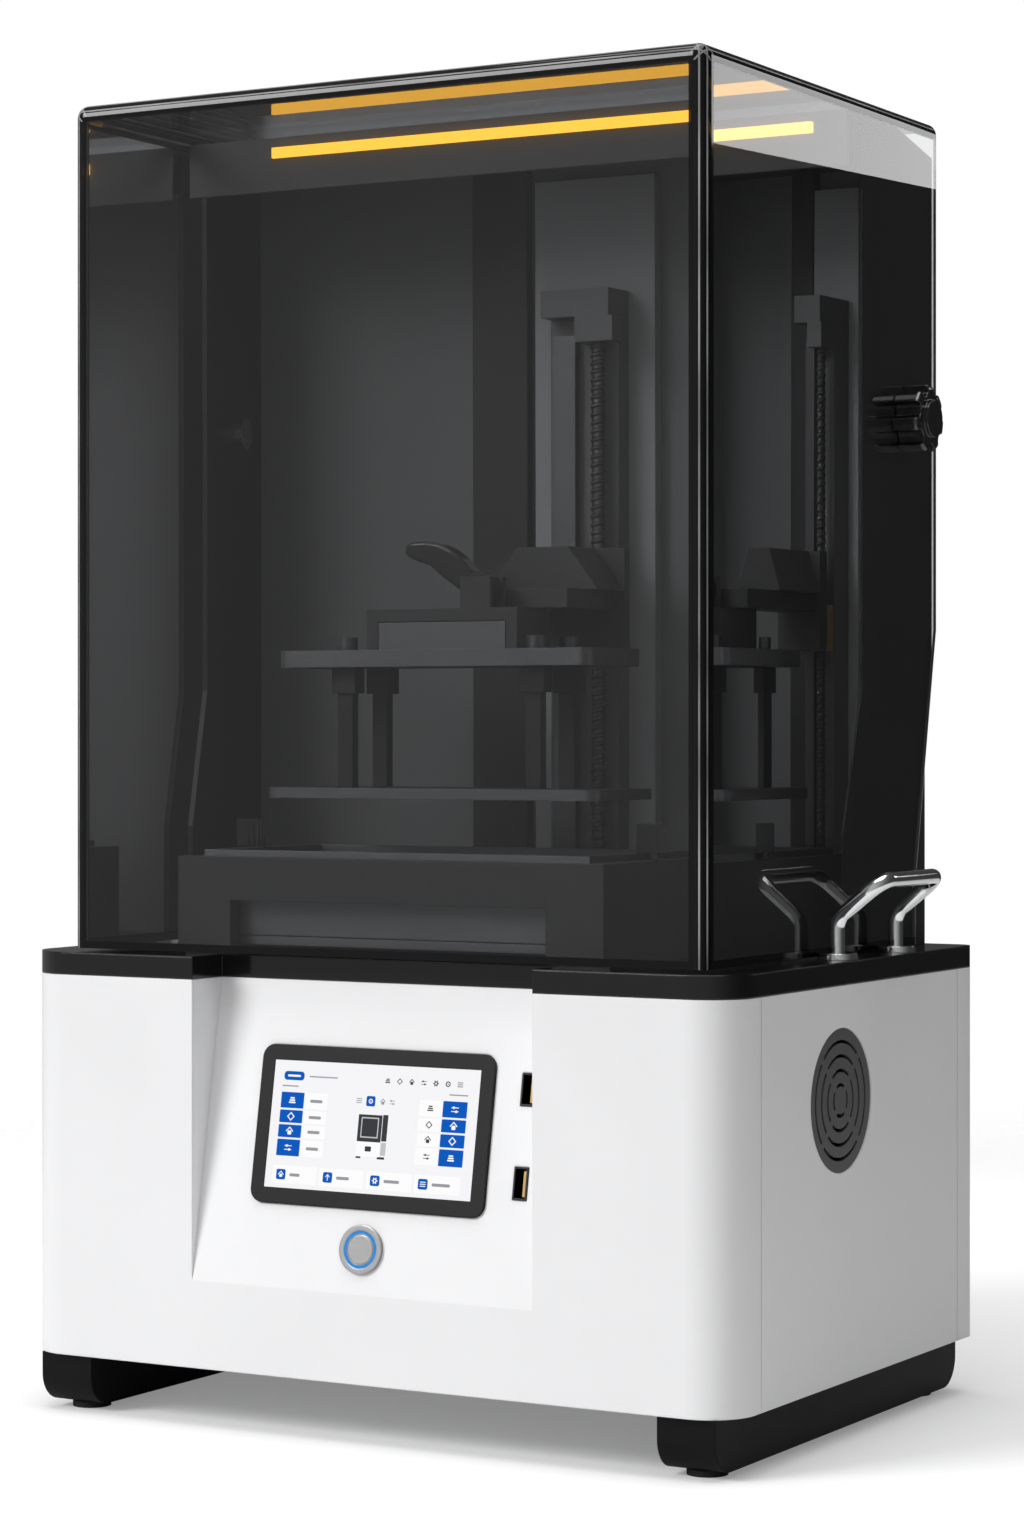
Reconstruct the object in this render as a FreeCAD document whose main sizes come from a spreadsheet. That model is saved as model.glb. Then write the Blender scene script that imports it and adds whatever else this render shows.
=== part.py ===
"""Desktop resin printer: white cabinet, black deck, tinted flip-up hood and a screw-driven platform.

Millimetres, +Z up, the front faces -Y, and the origin is under the middle of the feet.
"""
import FreeCAD, Part
import math
import os
import re
import Sketcher

Vector = FreeCAD.Vector
# Ring on which an outline's corners start before its constraints place them.
ROUGH_RADIUS = 50.0

# Driving sizes in millimetres and degrees, with plain counts at the end.
SIZES = {
    # white cabinet
    "body_height": 177.0,
    "shell_wall": 3.0,
    "front_corner": 22.0,
    "rear_corner": 8.0,
    "fascia_return": 28.0,
    "cover_return": 22.0,
    "seam": 0.4,
    "pan_thickness": 3.0,
    # feet
    "runner_width": 28.0,
    "runner_height": 24.0,
    "runner_inset": 9.0,
    "runner_end_inset": 3.0,
    "toe_radius": 14.0,
    "pad_radius": 9.0,
    "pad_thickness": 3.0,
    "pad_end_inset": 20.0,
    # deck plate and its optical window
    "deck_thickness": 10.5,
    "window_width": 150.0,
    "window_depth": 100.0,
    "window_thickness": 4.0,
    "window_ledge": 5.0,
    "window_gap": 0.2,
    # slanted control recess
    "recess_width": 178.0,
    "recess_depth": 24.0,
    "recess_height": 137.0,
    # touch screen, measured along the slanted panel
    "screen_width": 122.0,
    "screen_height": 71.5,
    "screen_centre": 73.5,
    "screen_corner": 6.0,
    "bezel_border": 7.0,
    "bezel_proud": 1.5,
    "bezel_depth": 6.0,
    "glass_thickness": 1.2,
    "glass_gap": 0.2,
    "module_depth": 7.0,
    # power button
    "button_centre": 20.0,
    "button_radius": 11.0,
    "button_rim": 1.5,
    "barrel_radius": 8.0,
    "barrel_length": 20.0,
    "led_outer": 8.4,
    "led_inner": 7.0,
    "led_depth": 1.2,
    "cap_radius": 6.6,
    "cap_depth": 8.0,
    "cap_travel": 1.5,
    "cap_gap": 0.1,
    "nut_radius": 12.5,
    "nut_thickness": 4.0,
    # two upright data sockets
    "port_offset": 78.0,
    "port_upper": 95.0,
    "port_lower": 54.0,
    "port_length": 14.5,
    "port_breadth": 7.0,
    "port_wall": 0.8,
    "port_depth": 14.0,
    "port_proud": 0.6,
    "tongue_length": 11.4,
    "tongue_breadth": 1.9,
    "tongue_depth": 11.5,
    # side fan
    "fan_forward": 22.0,
    "fan_height": 153.0,
    "grille_radius": 32.0,
    "grille_thickness": 2.0,
    "grille_gap": 0.3,
    "grille_sink": 0.5,
    "slot_breadth": 1.6,
    "slot_pitch": 6.4,
    "slot_first": 6.2,
    "spoke_breadth": 3.0,
    "fan_side": 60.0,
    "fan_depth": 15.0,
    "fan_bore": 28.0,
    "fan_hub": 11.0,
    "fan_hub_length": 9.0,
    "fan_blade": 26.5,
    "fan_blade_thickness": 1.2,
    "fan_spindle": 2.0,
    "fan_spindle_gap": 0.05,
    "strut_breadth": 4.0,
    "strut_thickness": 3.0,
    # carrying handles
    "handle_inset": 10.0,
    "handle_front": -5.0,
    "handle_length": 65.0,
    "handle_leg": 18.0,
    "handle_rise": 18.0,
    "handle_spread": 22.0,
    "handle_radius": 3.5,
    "handle_bend": 9.0,
    "collar_radius": 9.0,
    "collar_height": 3.0,
    "collar_gap": 0.1,
    "stud_radius": 2.0,
    "stud_reach": 10.0,
    "stud_head": 4.0,
    "stud_head_height": 3.0,
    # tinted hood and its pivots
    "hood_width": 332.0,
    "hood_top": 611.0,
    "hood_side_inset": 19.0,
    "hood_front_inset": 13.0,
    "hood_rear_inset": 3.0,
    "hood_wall": 4.0,
    "hood_edge": 6.0,
    "hood_gap": 1.2,
    "hood_waist": 366.0,
    "hood_heel": 245.0,
    "hood_undercut": 25.0,
    "pivot_inset": 40.0,
    "pivot_height": 465.0,
    "pivot_radius": 4.0,
    "pivot_gap": 0.08,
    "pivot_head": 8.0,
    "pivot_head_height": 5.0,
    "bush_radius": 7.0,
    "bush_flange": 11.0,
    "bush_flange_thickness": 1.0,
    "knob_radius": 16.0,
    "knob_height": 13.0,
    "knob_scallop": 4.2,
    "knob_hub": 9.0,
    "knob_hub_height": 2.0,
    "knob_gap": 0.3,
    # black rear housing
    "cheek_gap": 1.5,
    "cheek_thickness": 3.0,
    "cheek_front": 47.0,
    "cheek_foot_front": 26.0,
    "cheek_waist": 337.0,
    "cheek_heel": 271.0,
    "housing_rear_inset": 4.0,
    "housing_wall": 3.0,
    "visor_gap": 3.0,
    "visor_front": 30.0,
    "visor_drop": 26.0,
    "visor_bend": 82.0,
    "visor_tail_drop": 10.0,
    "light_bar_width": 224.0,
    "light_bar_height": 5.0,
    "light_bar_depth": 3.0,
    "light_bar_below_top": 5.0,
    # column, rail and screw
    "column_offset": 34.0,
    "column_width": 36.0,
    "column_depth": 16.0,
    "column_top": 513.0,
    "column_cap_height": 13.0,
    "cover_width": 64.0,
    "cover_depth": 10.0,
    "cover_top": 581.0,
    "duct_offset": -18.0,
    "duct_width": 30.0,
    "duct_depth": 8.0,
    "rail_offset": -9.0,
    "rail_width": 12.0,
    "rail_depth": 6.0,
    "rail_end_gap": 8.0,
    "screw_offset": 10.0,
    "screw_radius": 4.0,
    "screw_reach": 8.0,
    "shaft_radius": 2.5,
    "shaft_drop": 36.0,
    "screw_clearance": 1.0,
    "bearing_height": 12.0,
    "bearing_width": 20.0,
    "running_gap": 0.08,
    "motor_side": 42.0,
    "motor_height": 38.0,
    # carriage, arm and clamp, at the height they are drawn
    "carriage_bottom": 356.0,
    "carriage_height": 41.0,
    "carriage_block_width": 22.0,
    "carriage_block_depth": 16.0,
    "carriage_plate_width": 58.0,
    "carriage_plate_thickness": 8.0,
    "rail_gap": 0.1,
    "nut_width": 15.0,
    "nut_depth": 15.0,
    "nut_height": 22.0,
    "arm_width": 46.0,
    "arm_thickness": 9.0,
    "arm_ear_gap": 3.2,
    "gusset_base": 58.0,
    "gusset_top": 27.0,
    "gusset_height": 20.0,
    "gusset_depth": 42.0,
    "clamp_width": 80.0,
    "clamp_depth": 48.0,
    "clamp_height": 19.0,
    "clamp_wall": 6.0,
    "clamp_clearance": 0.3,
    "lever_pivot": 18.0,
    "lever_length": 36.0,
    "lever_width": 14.0,
    "lever_thickness": 10.0,
    "lever_cam": 8.0,
    "lever_angle": 27.0,
    "lever_pin": 3.0,
    "lever_gap": 0.4,
    "ear_thickness": 4.0,
    # build platform
    "plate_width": 176.0,
    "plate_depth": 88.0,
    "plate_thickness": 5.0,
    "plate_bottom": 286.0,
    "plate_corner": 6.0,
    "plate_rear_inset": 24.0,
    "upper_plate_width": 166.0,
    "upper_plate_depth": 80.0,
    "upper_plate_thickness": 8.0,
    "upper_plate_bottom": 347.0,
    "post_spread": 50.0,
    "post_spacing": 25.0,
    "post_side": 8.0,
    "post_collar": 13.0,
    "post_collar_height": 12.0,
    "level_head": 5.0,
    "level_head_height": 6.0,
    "level_shank": 2.0,
    "level_reach": 8.0,
    # vat and its frame
    "frame_width": 224.0,
    "frame_depth": 174.0,
    "frame_front_gap": 11.0,
    "frame_rear_gap": 4.8,
    "frame_height": 45.0,
    "frame_rim": 14.0,
    "frame_arch_width": 166.0,
    "frame_arch_height": 25.0,
    "vat_gap": 0.4,
    "vat_wall": 4.0,
    "vat_depth": 36.0,
    "vat_lip": 4.0,
    "vat_lip_thickness": 3.0,
    "film_thickness": 0.5,
    "film_ring_height": 4.0,
    "film_ring_width": 12.0,
    "thumb_offset": 107.0,
    "thumb_forward": 16.0,
    "thumb_radius": 8.0,
    "thumb_height": 13.0,
    "thumb_scallop": 1.6,
    "thumb_stud": 2.5,
    "thumb_stud_depth": 16.0,
    "thumb_gap": 0.3,
    # inside the cabinet
    "engine_width": 96.0,
    "engine_depth": 120.0,
    "engine_height": 72.0,
    "lens_radius": 25.0,
    "lens_height": 46.0,
    "supply_width": 98.0,
    "supply_depth": 158.0,
    "supply_height": 42.0,
    "supply_offset": -118.0,
    "board_width": 110.0,
    "board_depth": 130.0,
    "board_thickness": 2.0,
    "board_offset": 112.0,
    "standoff_height": 8.0,
    "standoff_radius": 3.0,
    "standoff_inset": 6.0,
    # mains inlet and switch on the rear
    "inlet_offset": -120.0,
    "inlet_height": 77.0,
    "inlet_width": 28.0,
    "inlet_rise": 20.0,
    "inlet_depth": 24.0,
    "inlet_wall": 2.0,
    "switch_width": 14.0,
    "switch_rise": 20.0,
    "rocker_gap": 0.4,
    "rocker_sink": 0.4,
    "switch_pivot": 4.0,
    "rocker_pin": 1.5,
    # rear vent slots
    "vent_length": 160.0,
    "vent_breadth": 4.0,
    "vent_pitch": 10.0,
    "vent_drop": 24.0,
    # counts
    "vent_count": 5,
    "blade_count": 7,
    "knob_lobes": 7,
    "thumb_ribs": 16,
    "slot_rings": 4,
}

doc = FreeCAD.newDocument("resin_printer")
sheet = doc.addObject("Spreadsheet::Sheet", "Sizes")
for row, (alias, number) in enumerate(SIZES.items(), start=1):
    sheet.set(f"A{row}", alias)
    sheet.set(f"B{row}", str(number))
    sheet.setAlias(f"B{row}", alias)
doc.recompute()

# Named levels and planes, each a formula over the sheet.
HALF_WIDTH = "(hood_width / 2 + hood_side_inset)"
LIFT_DEPTH = "(carriage_plate_thickness + carriage_block_depth + 2 * rail_gap + column_depth + cover_depth)"
CHAMBER_DEPTH = f"(frame_front_gap + frame_depth + frame_rear_gap + {LIFT_DEPTH} + housing_wall)"
HALF_DEPTH = f"((hood_front_inset + hood_wall + {CHAMBER_DEPTH} + housing_rear_inset) / 2)"
CABINET_BOTTOM = "(pad_thickness + runner_height)"
DECK_BOTTOM = f"({CABINET_BOTTOM} + body_height)"
DECK_TOP = f"({DECK_BOTTOM} + deck_thickness)"
PAN_TOP = f"({CABINET_BOTTOM} + pan_thickness)"
PANEL_FOOT = f"({DECK_BOTTOM} - recess_height)"
PANEL_TILT = "atan(recess_depth / recess_height)"
HOOD_FRONT = f"(hood_front_inset - {HALF_DEPTH})"
HOOD_REAR = f"({HALF_DEPTH} - hood_rear_inset)"
HOOD_BOTTOM = f"({DECK_TOP} + hood_gap)"
PIVOT_Y = f"({HALF_DEPTH} - pivot_inset)"
CHEEK_OUTER = "(hood_width / 2 - hood_wall - cheek_gap)"
CHEEK_INNER = f"({CHEEK_OUTER} - cheek_thickness)"
HOUSING_REAR = f"({HALF_DEPTH} - housing_rear_inset)"
WALL_FRONT = f"({HOUSING_REAR} - housing_wall)"
COVER_FRONT = f"({WALL_FRONT} - cover_depth)"
COLUMN_FRONT = f"({COVER_FRONT} - column_depth)"
RAIL_FRONT = f"({COLUMN_FRONT} - rail_depth)"
RAIL_X = "(column_offset + rail_offset)"
SCREW_X = "(column_offset + screw_offset)"
SCREW_Y = f"({COLUMN_FRONT} - screw_reach)"
BLOCK_REAR = f"({COLUMN_FRONT} - 2 * rail_gap)"
BLOCK_FRONT = f"({BLOCK_REAR} - carriage_block_depth)"
CARRIAGE_FRONT = f"({BLOCK_FRONT} - carriage_plate_thickness)"
UPPER_TOP = "(upper_plate_bottom + upper_plate_thickness)"
CLAMP_TOP = f"({UPPER_TOP} + clamp_height)"
ARM_TOP = f"({CLAMP_TOP} + arm_thickness)"
PLATE_TOP = "(plate_bottom + plate_thickness)"
FRAME_TOP = f"({DECK_TOP} + frame_height)"
FRAME_FRONT = f"({HOOD_FRONT} + hood_wall + frame_front_gap)"
FRAME_REAR = f"({FRAME_FRONT} + frame_depth)"
FRAME_MIDDLE = f"({FRAME_FRONT} + frame_depth / 2)"
PLATE_MIDDLE = f"({FRAME_REAR} - plate_rear_inset - plate_depth / 2)"
CLAMP_FRONT = f"({PLATE_MIDDLE} - clamp_depth / 2)"
LEVER_Z = f"({CLAMP_TOP} + lever_cam + lever_gap)"
LEVER_FRONT = f"({CLAMP_FRONT} + ear_thickness + lever_gap)"
LEVER_REAR = f"({LEVER_FRONT} + lever_width)"
REAR_EAR = f"({LEVER_REAR} + lever_gap)"
EAR_BACK = f"({REAR_EAR} + ear_thickness)"
ARM_FRONT = f"({EAR_BACK} + arm_ear_gap)"


def formula(text):
    """Points every size named in a formula at its cell of the sheet."""
    return re.sub(r"[a-z_]+", lambda word: f"Sizes.{word[0]}" if word[0] in SIZES else word[0], str(text))


def bind(item, **formulas):
    """Ties properties of a document object to formulas."""
    for name, text in formulas.items():
        item.setExpression(name, formula(text))
    return item


def place(item, x="0", y="0", z="0", turn=None):
    """Moves an object to a point given by formulas, after an optional rotation."""
    if turn is not None:
        item.Placement = FreeCAD.Placement(Vector(), turn)
    for axis, text in zip("xyz", (x, y, z)):
        item.setExpression(f"Placement.Base.{axis}", formula(text))
    return item


LEVEL = FreeCAD.Rotation()
TURNS = {
    "X": FreeCAD.Rotation(Vector(0, 1, 0), 90),
    "Y": FreeCAD.Rotation(Vector(1, 0, 0), -90),
    "Z": LEVEL,
}
TURN_LEFT = FreeCAD.Rotation(Vector(0, 1, 0), -90)


def on_panel(item):
    """Leans an object drawn upright at the panel's foot line back onto the slanted panel."""
    item.Placement = FreeCAD.Placement(Vector(), FreeCAD.Rotation(Vector(1, 0, 0), -10))
    place(item, "0", f"-{HALF_DEPTH}", PANEL_FOOT)
    item.setExpression("Placement.Rotation.Angle", formula(f"-{PANEL_TILT}"))
    return item


def box(name, x, y, z):
    """Makes a block from pairs of low and high formulas."""
    item = doc.addObject("Part::Box", name)
    bind(item, Length=f"({x[1]}) - ({x[0]})", Width=f"({y[1]}) - ({y[0]})", Height=f"({z[1]}) - ({z[0]})")
    return place(item, x[0], y[0], z[0])


def rod(name, axis, at, radius, span):
    """Makes a cylinder along X, Y or Z; at holds its other two coordinates in order."""
    item = doc.addObject("Part::Cylinder", name)
    bind(item, Radius=radius, Height=f"({span[1]}) - ({span[0]})")
    corner = list(at)
    corner.insert("XYZ".index(axis), span[0])
    return place(item, *corner, turn=TURNS[axis])


def join(name, *items):
    """Fuses touching objects into one solid."""
    item = doc.addObject("Part::MultiFuse", name)
    item.Shapes = list(items)
    item.Refine = True
    return item


def group(name, *items):
    """Keeps separate solids together as one sub-part."""
    item = doc.addObject("Part::Compound", name)
    item.Links = list(items)
    return item


def cut(name, base, *tools):
    """Takes one or more tools away from a base."""
    item = doc.addObject("Part::Cut", name)
    item.Base = base
    item.Tool = tools[0] if len(tools) == 1 else group(f"{name}_tools", *tools)
    item.Refine = True
    return item


def mirrored(name, source):
    """Copies an object across the YZ plane."""
    item = doc.addObject("Part::Mirroring", name)
    item.Source = source
    item.Base = Vector(0, 0, 0)
    item.Normal = Vector(1, 0, 0)
    return item


def drawing(body, name, role, lift="0"):
    """Starts a sketch on one of a body's own origin planes."""
    sketch = body.newObject("Sketcher::SketchObject", name)
    plane = next(feature for feature in body.Origin.OriginFeatures if feature.Role == role)
    sketch.AttachmentSupport = [(plane, "")]
    sketch.MapMode = "FlatFace"
    sketch.setExpression("AttachmentOffset.Base.z", formula(lift))
    return sketch


def pin_point(sketch, geometry, end, x, y):
    """Fixes one point of a sketch at a pair of formulas from its origin."""
    for kind, text in (("DistanceX", x), ("DistanceY", y)):
        index = sketch.addConstraint(Sketcher.Constraint(kind, -1, 1, geometry, end, 1.0))
        sketch.setExpression(f"Constraints[{index}]", formula(text))


def polygon(sketch, points):
    """Draws a closed outline through points given as pairs of formulas."""
    count = len(points)
    start = [FreeCAD.Rotation(Vector(0, 0, 1), 360 * i / count).multVec(Vector(ROUGH_RADIUS, 0, 0))
             for i in range(count)]
    for i in range(count):
        sketch.addGeometry(Part.LineSegment(start[i], start[(i + 1) % count]))
    for i in range(count):
        sketch.addConstraint(Sketcher.Constraint("Coincident", i, 2, (i + 1) % count, 1))
    for i, (x, y) in enumerate(points):
        pin_point(sketch, i, 1, x, y)


def circle(sketch, x, y, radius):
    """Draws a circle about a point given as formulas."""
    ring = sketch.addGeometry(Part.Circle(Vector(1, 1, 0), Vector(0, 0, 1), 1))
    pin_point(sketch, ring, 3, x, y)
    index = sketch.addConstraint(Sketcher.Constraint("Radius", ring, 1.0))
    sketch.setExpression(f"Constraints[{index}]", formula(radius))


def pad(body, sketch, length, kind="Pad", reverse=False):
    """Extrudes a sketch as material, or as a cut when kind is Pocket."""
    feature = body.newObject(f"PartDesign::{kind}", f"{sketch.Name}_{kind}")
    feature.Profile = sketch
    feature.Reversed = reverse
    return bind(feature, Length=length)


def prism(name, role, points, lift, length):
    """Makes a body from a straight-sided outline; the pad runs along the plane's normal."""
    body = doc.addObject("PartDesign::Body", name)
    sketch = drawing(body, f"{name}_outline", role, lift)
    polygon(sketch, points)
    pad(body, sketch, length)
    return body


def rounded(body, radius, chosen):
    """Rounds the edges of a body's last feature for which chosen(edge, box) holds."""
    doc.recompute()
    base = body.Tip
    bound = base.Shape.BoundBox
    names = [f"Edge{i}" for i, edge in enumerate(base.Shape.Edges, 1) if chosen(edge, bound)]
    feature = body.newObject("PartDesign::Fillet", f"{body.Name}_round_{len(body.Group)}")
    feature.Base = (base, names)
    bind(feature, Radius=radius)
    return body


def along(edge, axis):
    """Tells whether a straight edge runs along a coordinate axis."""
    straight = isinstance(edge.Curve, (Part.Line, Part.LineSegment))
    return straight and abs(edge.tangentAt(edge.FirstParameter)[axis]) > 0.999


def ring_of(body, feature, count):
    """Repeats a feature about the body's own Z axis."""
    pattern = body.newObject("PartDesign::PolarPattern", f"{feature.Name}_ring")
    pattern.Originals = [feature]
    axis = next(line for line in body.Origin.OriginFeatures if line.Role == "Z_Axis")
    pattern.Axis = (axis, [""])
    pattern.Angle = 360
    bind(pattern, Occurrences=count)
    body.Tip = pattern
    return body


def rectangle(x, y):
    """Lists the corners of a rectangle from two pairs of formulas."""
    return [(x[0], y[0]), (x[1], y[0]), (x[1], y[1]), (x[0], y[1])]


def mid(centre, breadth):
    """Gives the low and high formulas of a span about a centre."""
    return (f"{centre} - ({breadth}) / 2", f"{centre} + ({breadth}) / 2")


def even(breadth):
    """Gives the low and high formulas of a span about zero."""
    return (f"-({breadth}) / 2", f"({breadth}) / 2")


NODES = {}


def node(name, item):
    """Registers a finished sub-part under its own name."""
    item.Label = name
    NODES[name] = item
    return item


def cabinet_block(name, inset, bottom, top):
    """Makes a block with the cabinet's rounded plan, drawn in from the outside by an inset."""
    sides = (f"{inset} - {HALF_WIDTH}", f"{HALF_WIDTH} - {inset}")
    ends = (f"{inset} - {HALF_DEPTH}", f"{HALF_DEPTH} - {inset}")
    body = prism(name, "XY_Plane", rectangle(sides, ends), bottom, f"({top}) - ({bottom})")
    rounded(body, f"front_corner - {inset}", lambda edge, bound: along(edge, 2) and edge.CenterOfMass.y < 0)
    rounded(body, f"rear_corner - {inset}", lambda edge,
            bound: along(edge, 2) and edge.CenterOfMass.y > bound.YMax - 1)
    return body


# Cabinet shell
MARGIN = "shell_wall"
FASCIA_REAR = f"(fascia_return - {HALF_DEPTH})"
COVER_EDGE = f"({HALF_DEPTH} - cover_return)"
BODY_SPAN = (CABINET_BOTTOM, DECK_BOTTOM)
TALL_SPAN = (f"{CABINET_BOTTOM} - {MARGIN}", f"{DECK_BOTTOM} + {MARGIN}")
WIDE_SPAN = (f"-{HALF_WIDTH} - {MARGIN}", f"{HALF_WIDTH} + {MARGIN}")
PANEL_SLOPE = "recess_depth / recess_height"


def recess_wedge(name, grow):
    """Makes the wedge that the slanted recess takes out, grown outwards by a wall."""
    foot = f"-{HALF_DEPTH} + {grow} / cos({PANEL_TILT})"
    low = f"{PANEL_FOOT} - recess_depth * ({grow}) / shell_wall"
    high = f"{DECK_BOTTOM} + 2 * {MARGIN}"
    slanted = [
        (f"{foot} + ({low} - {PANEL_FOOT}) * {PANEL_SLOPE}", low),
        (f"{foot} + ({high} - {PANEL_FOOT}) * {PANEL_SLOPE}", high),
    ]
    front = f"-{HALF_DEPTH} - recess_depth"
    half = f"(recess_width / 2 + {grow})"
    return prism(name, "YZ_Plane", slanted + [(front, high), (front, low)], f"-{half}", f"2 * {half}")


def panel_tool(name, item):
    """Leans a cutting tool drawn at the panel's foot line onto the slanted panel."""
    return on_panel(group(name, item))


SCREEN_X = even("screen_width")
SCREEN_Z = mid("screen_centre", "screen_height")
THROUGH = ("-shell_wall", "2 * shell_wall")


def widened(span, gap):
    """Opens a span by a gap at both ends."""
    return (f"{span[0]} - ({gap})", f"{span[1]} + ({gap})")


screen_hole = prism("screen_hole", "XZ_Plane",
                    rectangle(widened(SCREEN_X, "glass_gap"), widened(SCREEN_Z, "glass_gap")),
                    f"-({THROUGH[1]})", f"{THROUGH[1]} - ({THROUGH[0]})")
rounded(screen_hole, "screen_corner + glass_gap", lambda edge, bound: along(edge, 1))
button_hole = rod("button_hole", "Y", ("0", "button_centre"), "barrel_radius + cap_gap", THROUGH)
panel_tools = [panel_tool("screen_opening", screen_hole), panel_tool("button_opening", button_hole)]
PORTS = ("port_upper", "port_lower")
PORT_X = mid("port_offset", "port_breadth")
for port in PORTS:
    hole = box(f"{port}_hole", widened(PORT_X, "cap_gap"), THROUGH,
               widened(mid(port, "port_length"), "cap_gap"))
    panel_tools.append(panel_tool(f"{port}_opening", hole))

rear_part = box("behind_fascia", WIDE_SPAN, (FASCIA_REAR, f"{HALF_DEPTH} + {MARGIN}"), TALL_SPAN)
fascia_solid = cut("fascia_solid", cabinet_block("fascia_block", "0", *BODY_SPAN),
                   recess_wedge("recess_outer", "0"), rear_part)
fascia_core = cut("fascia_core", cabinet_block("fascia_inside", "shell_wall", *TALL_SPAN),
                  recess_wedge("recess_inner", "shell_wall"))
node("front_fascia", cut("front_fascia", fascia_solid, fascia_core, *panel_tools))

front_part = box("before_cover", WIDE_SPAN, (f"-{HALF_DEPTH} - {MARGIN}", COVER_EDGE), TALL_SPAN)
cover_solid = cut("cover_solid", cabinet_block("cover_block", "0", *BODY_SPAN), front_part)
cover_core = cabinet_block("cover_inside", "shell_wall", *TALL_SPAN)
SWITCH_CENTRE = "(inlet_offset + inlet_width / 2 + switch_width / 2)"
REAR_WALL = (f"{HALF_DEPTH} - 2 * shell_wall", f"{HALF_DEPTH} + {MARGIN}")
inlet_hole = box("inlet_hole", mid("inlet_offset", "inlet_width"), REAR_WALL,
                 mid("inlet_height", "inlet_rise"))
switch_hole = box("switch_hole", mid(SWITCH_CENTRE, "switch_width"), REAR_WALL,
                  mid("inlet_height", "switch_rise"))
vents = []
for row in range(SIZES["vent_count"]):
    level = f"({DECK_BOTTOM} - vent_drop - {row} * vent_pitch)"
    vents.append(box(f"vent_{row}", even("vent_length"), REAR_WALL, mid(level, "vent_breadth")))
node("rear_cover", cut("rear_cover", cover_solid, cover_core, inlet_hole, switch_hole, *vents))

PANEL_Y = (f"{FASCIA_REAR} + seam", f"{COVER_EDGE} - seam")
fan_hole = rod("fan_hole", "X", ("-fan_forward", "fan_height"), "grille_radius + grille_gap",
               (f"{HALF_WIDTH} - 2 * shell_wall", f"{HALF_WIDTH} + {MARGIN}"))
right_sheet = box("right_sheet", (f"{HALF_WIDTH} - shell_wall", HALF_WIDTH), PANEL_Y, BODY_SPAN)
node("side_panel_right", cut("side_panel_right", right_sheet, fan_hole))
node("side_panel_left",
     box("side_panel_left", (f"-{HALF_WIDTH}", f"shell_wall - {HALF_WIDTH}"), PANEL_Y, BODY_SPAN))

pan_x = (f"shell_wall - {HALF_WIDTH}", f"{HALF_WIDTH} - shell_wall")
pan_y = (f"shell_wall - {HALF_DEPTH}", f"{HALF_DEPTH} - shell_wall")
pan = prism("pan_sheet", "XY_Plane", rectangle(pan_x, pan_y), CABINET_BOTTOM, "pan_thickness")
rounded(pan, "front_corner", lambda edge, bound: along(edge, 2) and edge.CenterOfMass.y < 0)
rounded(pan, "rear_corner", lambda edge, bound: along(edge, 2) and edge.CenterOfMass.y > bound.YMax - 1)

# Runner feet and their pads
RUNNER_END = f"({HALF_DEPTH} - runner_end_inset)"
RUNNER_X = f"({HALF_WIDTH} - runner_inset - runner_width / 2)"
runner = prism("runner_foot_right", "YZ_Plane",
               rectangle((f"-{RUNNER_END}", RUNNER_END), ("pad_thickness", CABINET_BOTTOM)),
               f"{RUNNER_X} - runner_width / 2", "runner_width")
rounded(runner, "toe_radius", lambda edge, bound: along(edge, 0) and edge.CenterOfMass.z < bound.ZMin + 1)
node("runner_feet", group("runner_feet", runner, mirrored("runner_foot_left", runner)))
pads = []
for side in ("-1", "1"):
    for end in ("-1", "1"):
        spot = (f"{side} * {RUNNER_X}", f"{end} * ({RUNNER_END} - pad_end_inset)")
        pads.append(rod("foot_pad", "Z", spot, "pad_radius", ("0", "pad_thickness")))
node("foot_pads", group("foot_pads", *pads))

# Handle positions, shared by the deck's screw holes
HANDLE_X = f"({HALF_WIDTH} - handle_inset)"
HANDLE_ENDS = ("handle_front", "handle_front + handle_length")
HANDLE_SPOTS = [(f"{side} * {HANDLE_X}", end) for side in ("-1", "1") for end in HANDLE_ENDS]

# Deck plate with its window ledge
DECK_SPAN = (DECK_BOTTOM, DECK_TOP)
DECK_THROUGH = (f"{DECK_BOTTOM} - {MARGIN}", f"{DECK_TOP} + {MARGIN}")
WINDOW_X = even("window_width")
WINDOW_Y = mid(PLATE_MIDDLE, "window_depth")
WINDOW_Z = (f"{DECK_TOP} - window_thickness", DECK_TOP)
recess_notch = box("recess_notch", even("recess_width"),
                   (f"-{HALF_DEPTH} - {MARGIN}", f"recess_depth - {HALF_DEPTH}"),
                   DECK_THROUGH)
window_seat = box("window_seat", widened(WINDOW_X, "window_gap"), widened(WINDOW_Y, "window_gap"),
                  (WINDOW_Z[0], DECK_THROUGH[1]))
window_hole = box("window_hole", widened(WINDOW_X, "-window_ledge"), widened(WINDOW_Y, "-window_ledge"),
                  DECK_THROUGH)
shaft_hole = rod("shaft_hole", "Z", (SCREW_X, SCREW_Y), "screw_radius + screw_clearance", DECK_THROUGH)
stud_holes = [rod("stud_hole", "Z", spot, "stud_radius + collar_gap", DECK_THROUGH) for spot in HANDLE_SPOTS]
node("deck_plate", cut("deck_plate", cabinet_block("deck_block", "0", *DECK_SPAN), recess_notch, window_seat,
                       window_hole, shaft_hole, *stud_holes))
node("optical_window", box("optical_window", WINDOW_X, WINDOW_Y, WINDOW_Z))

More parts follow.
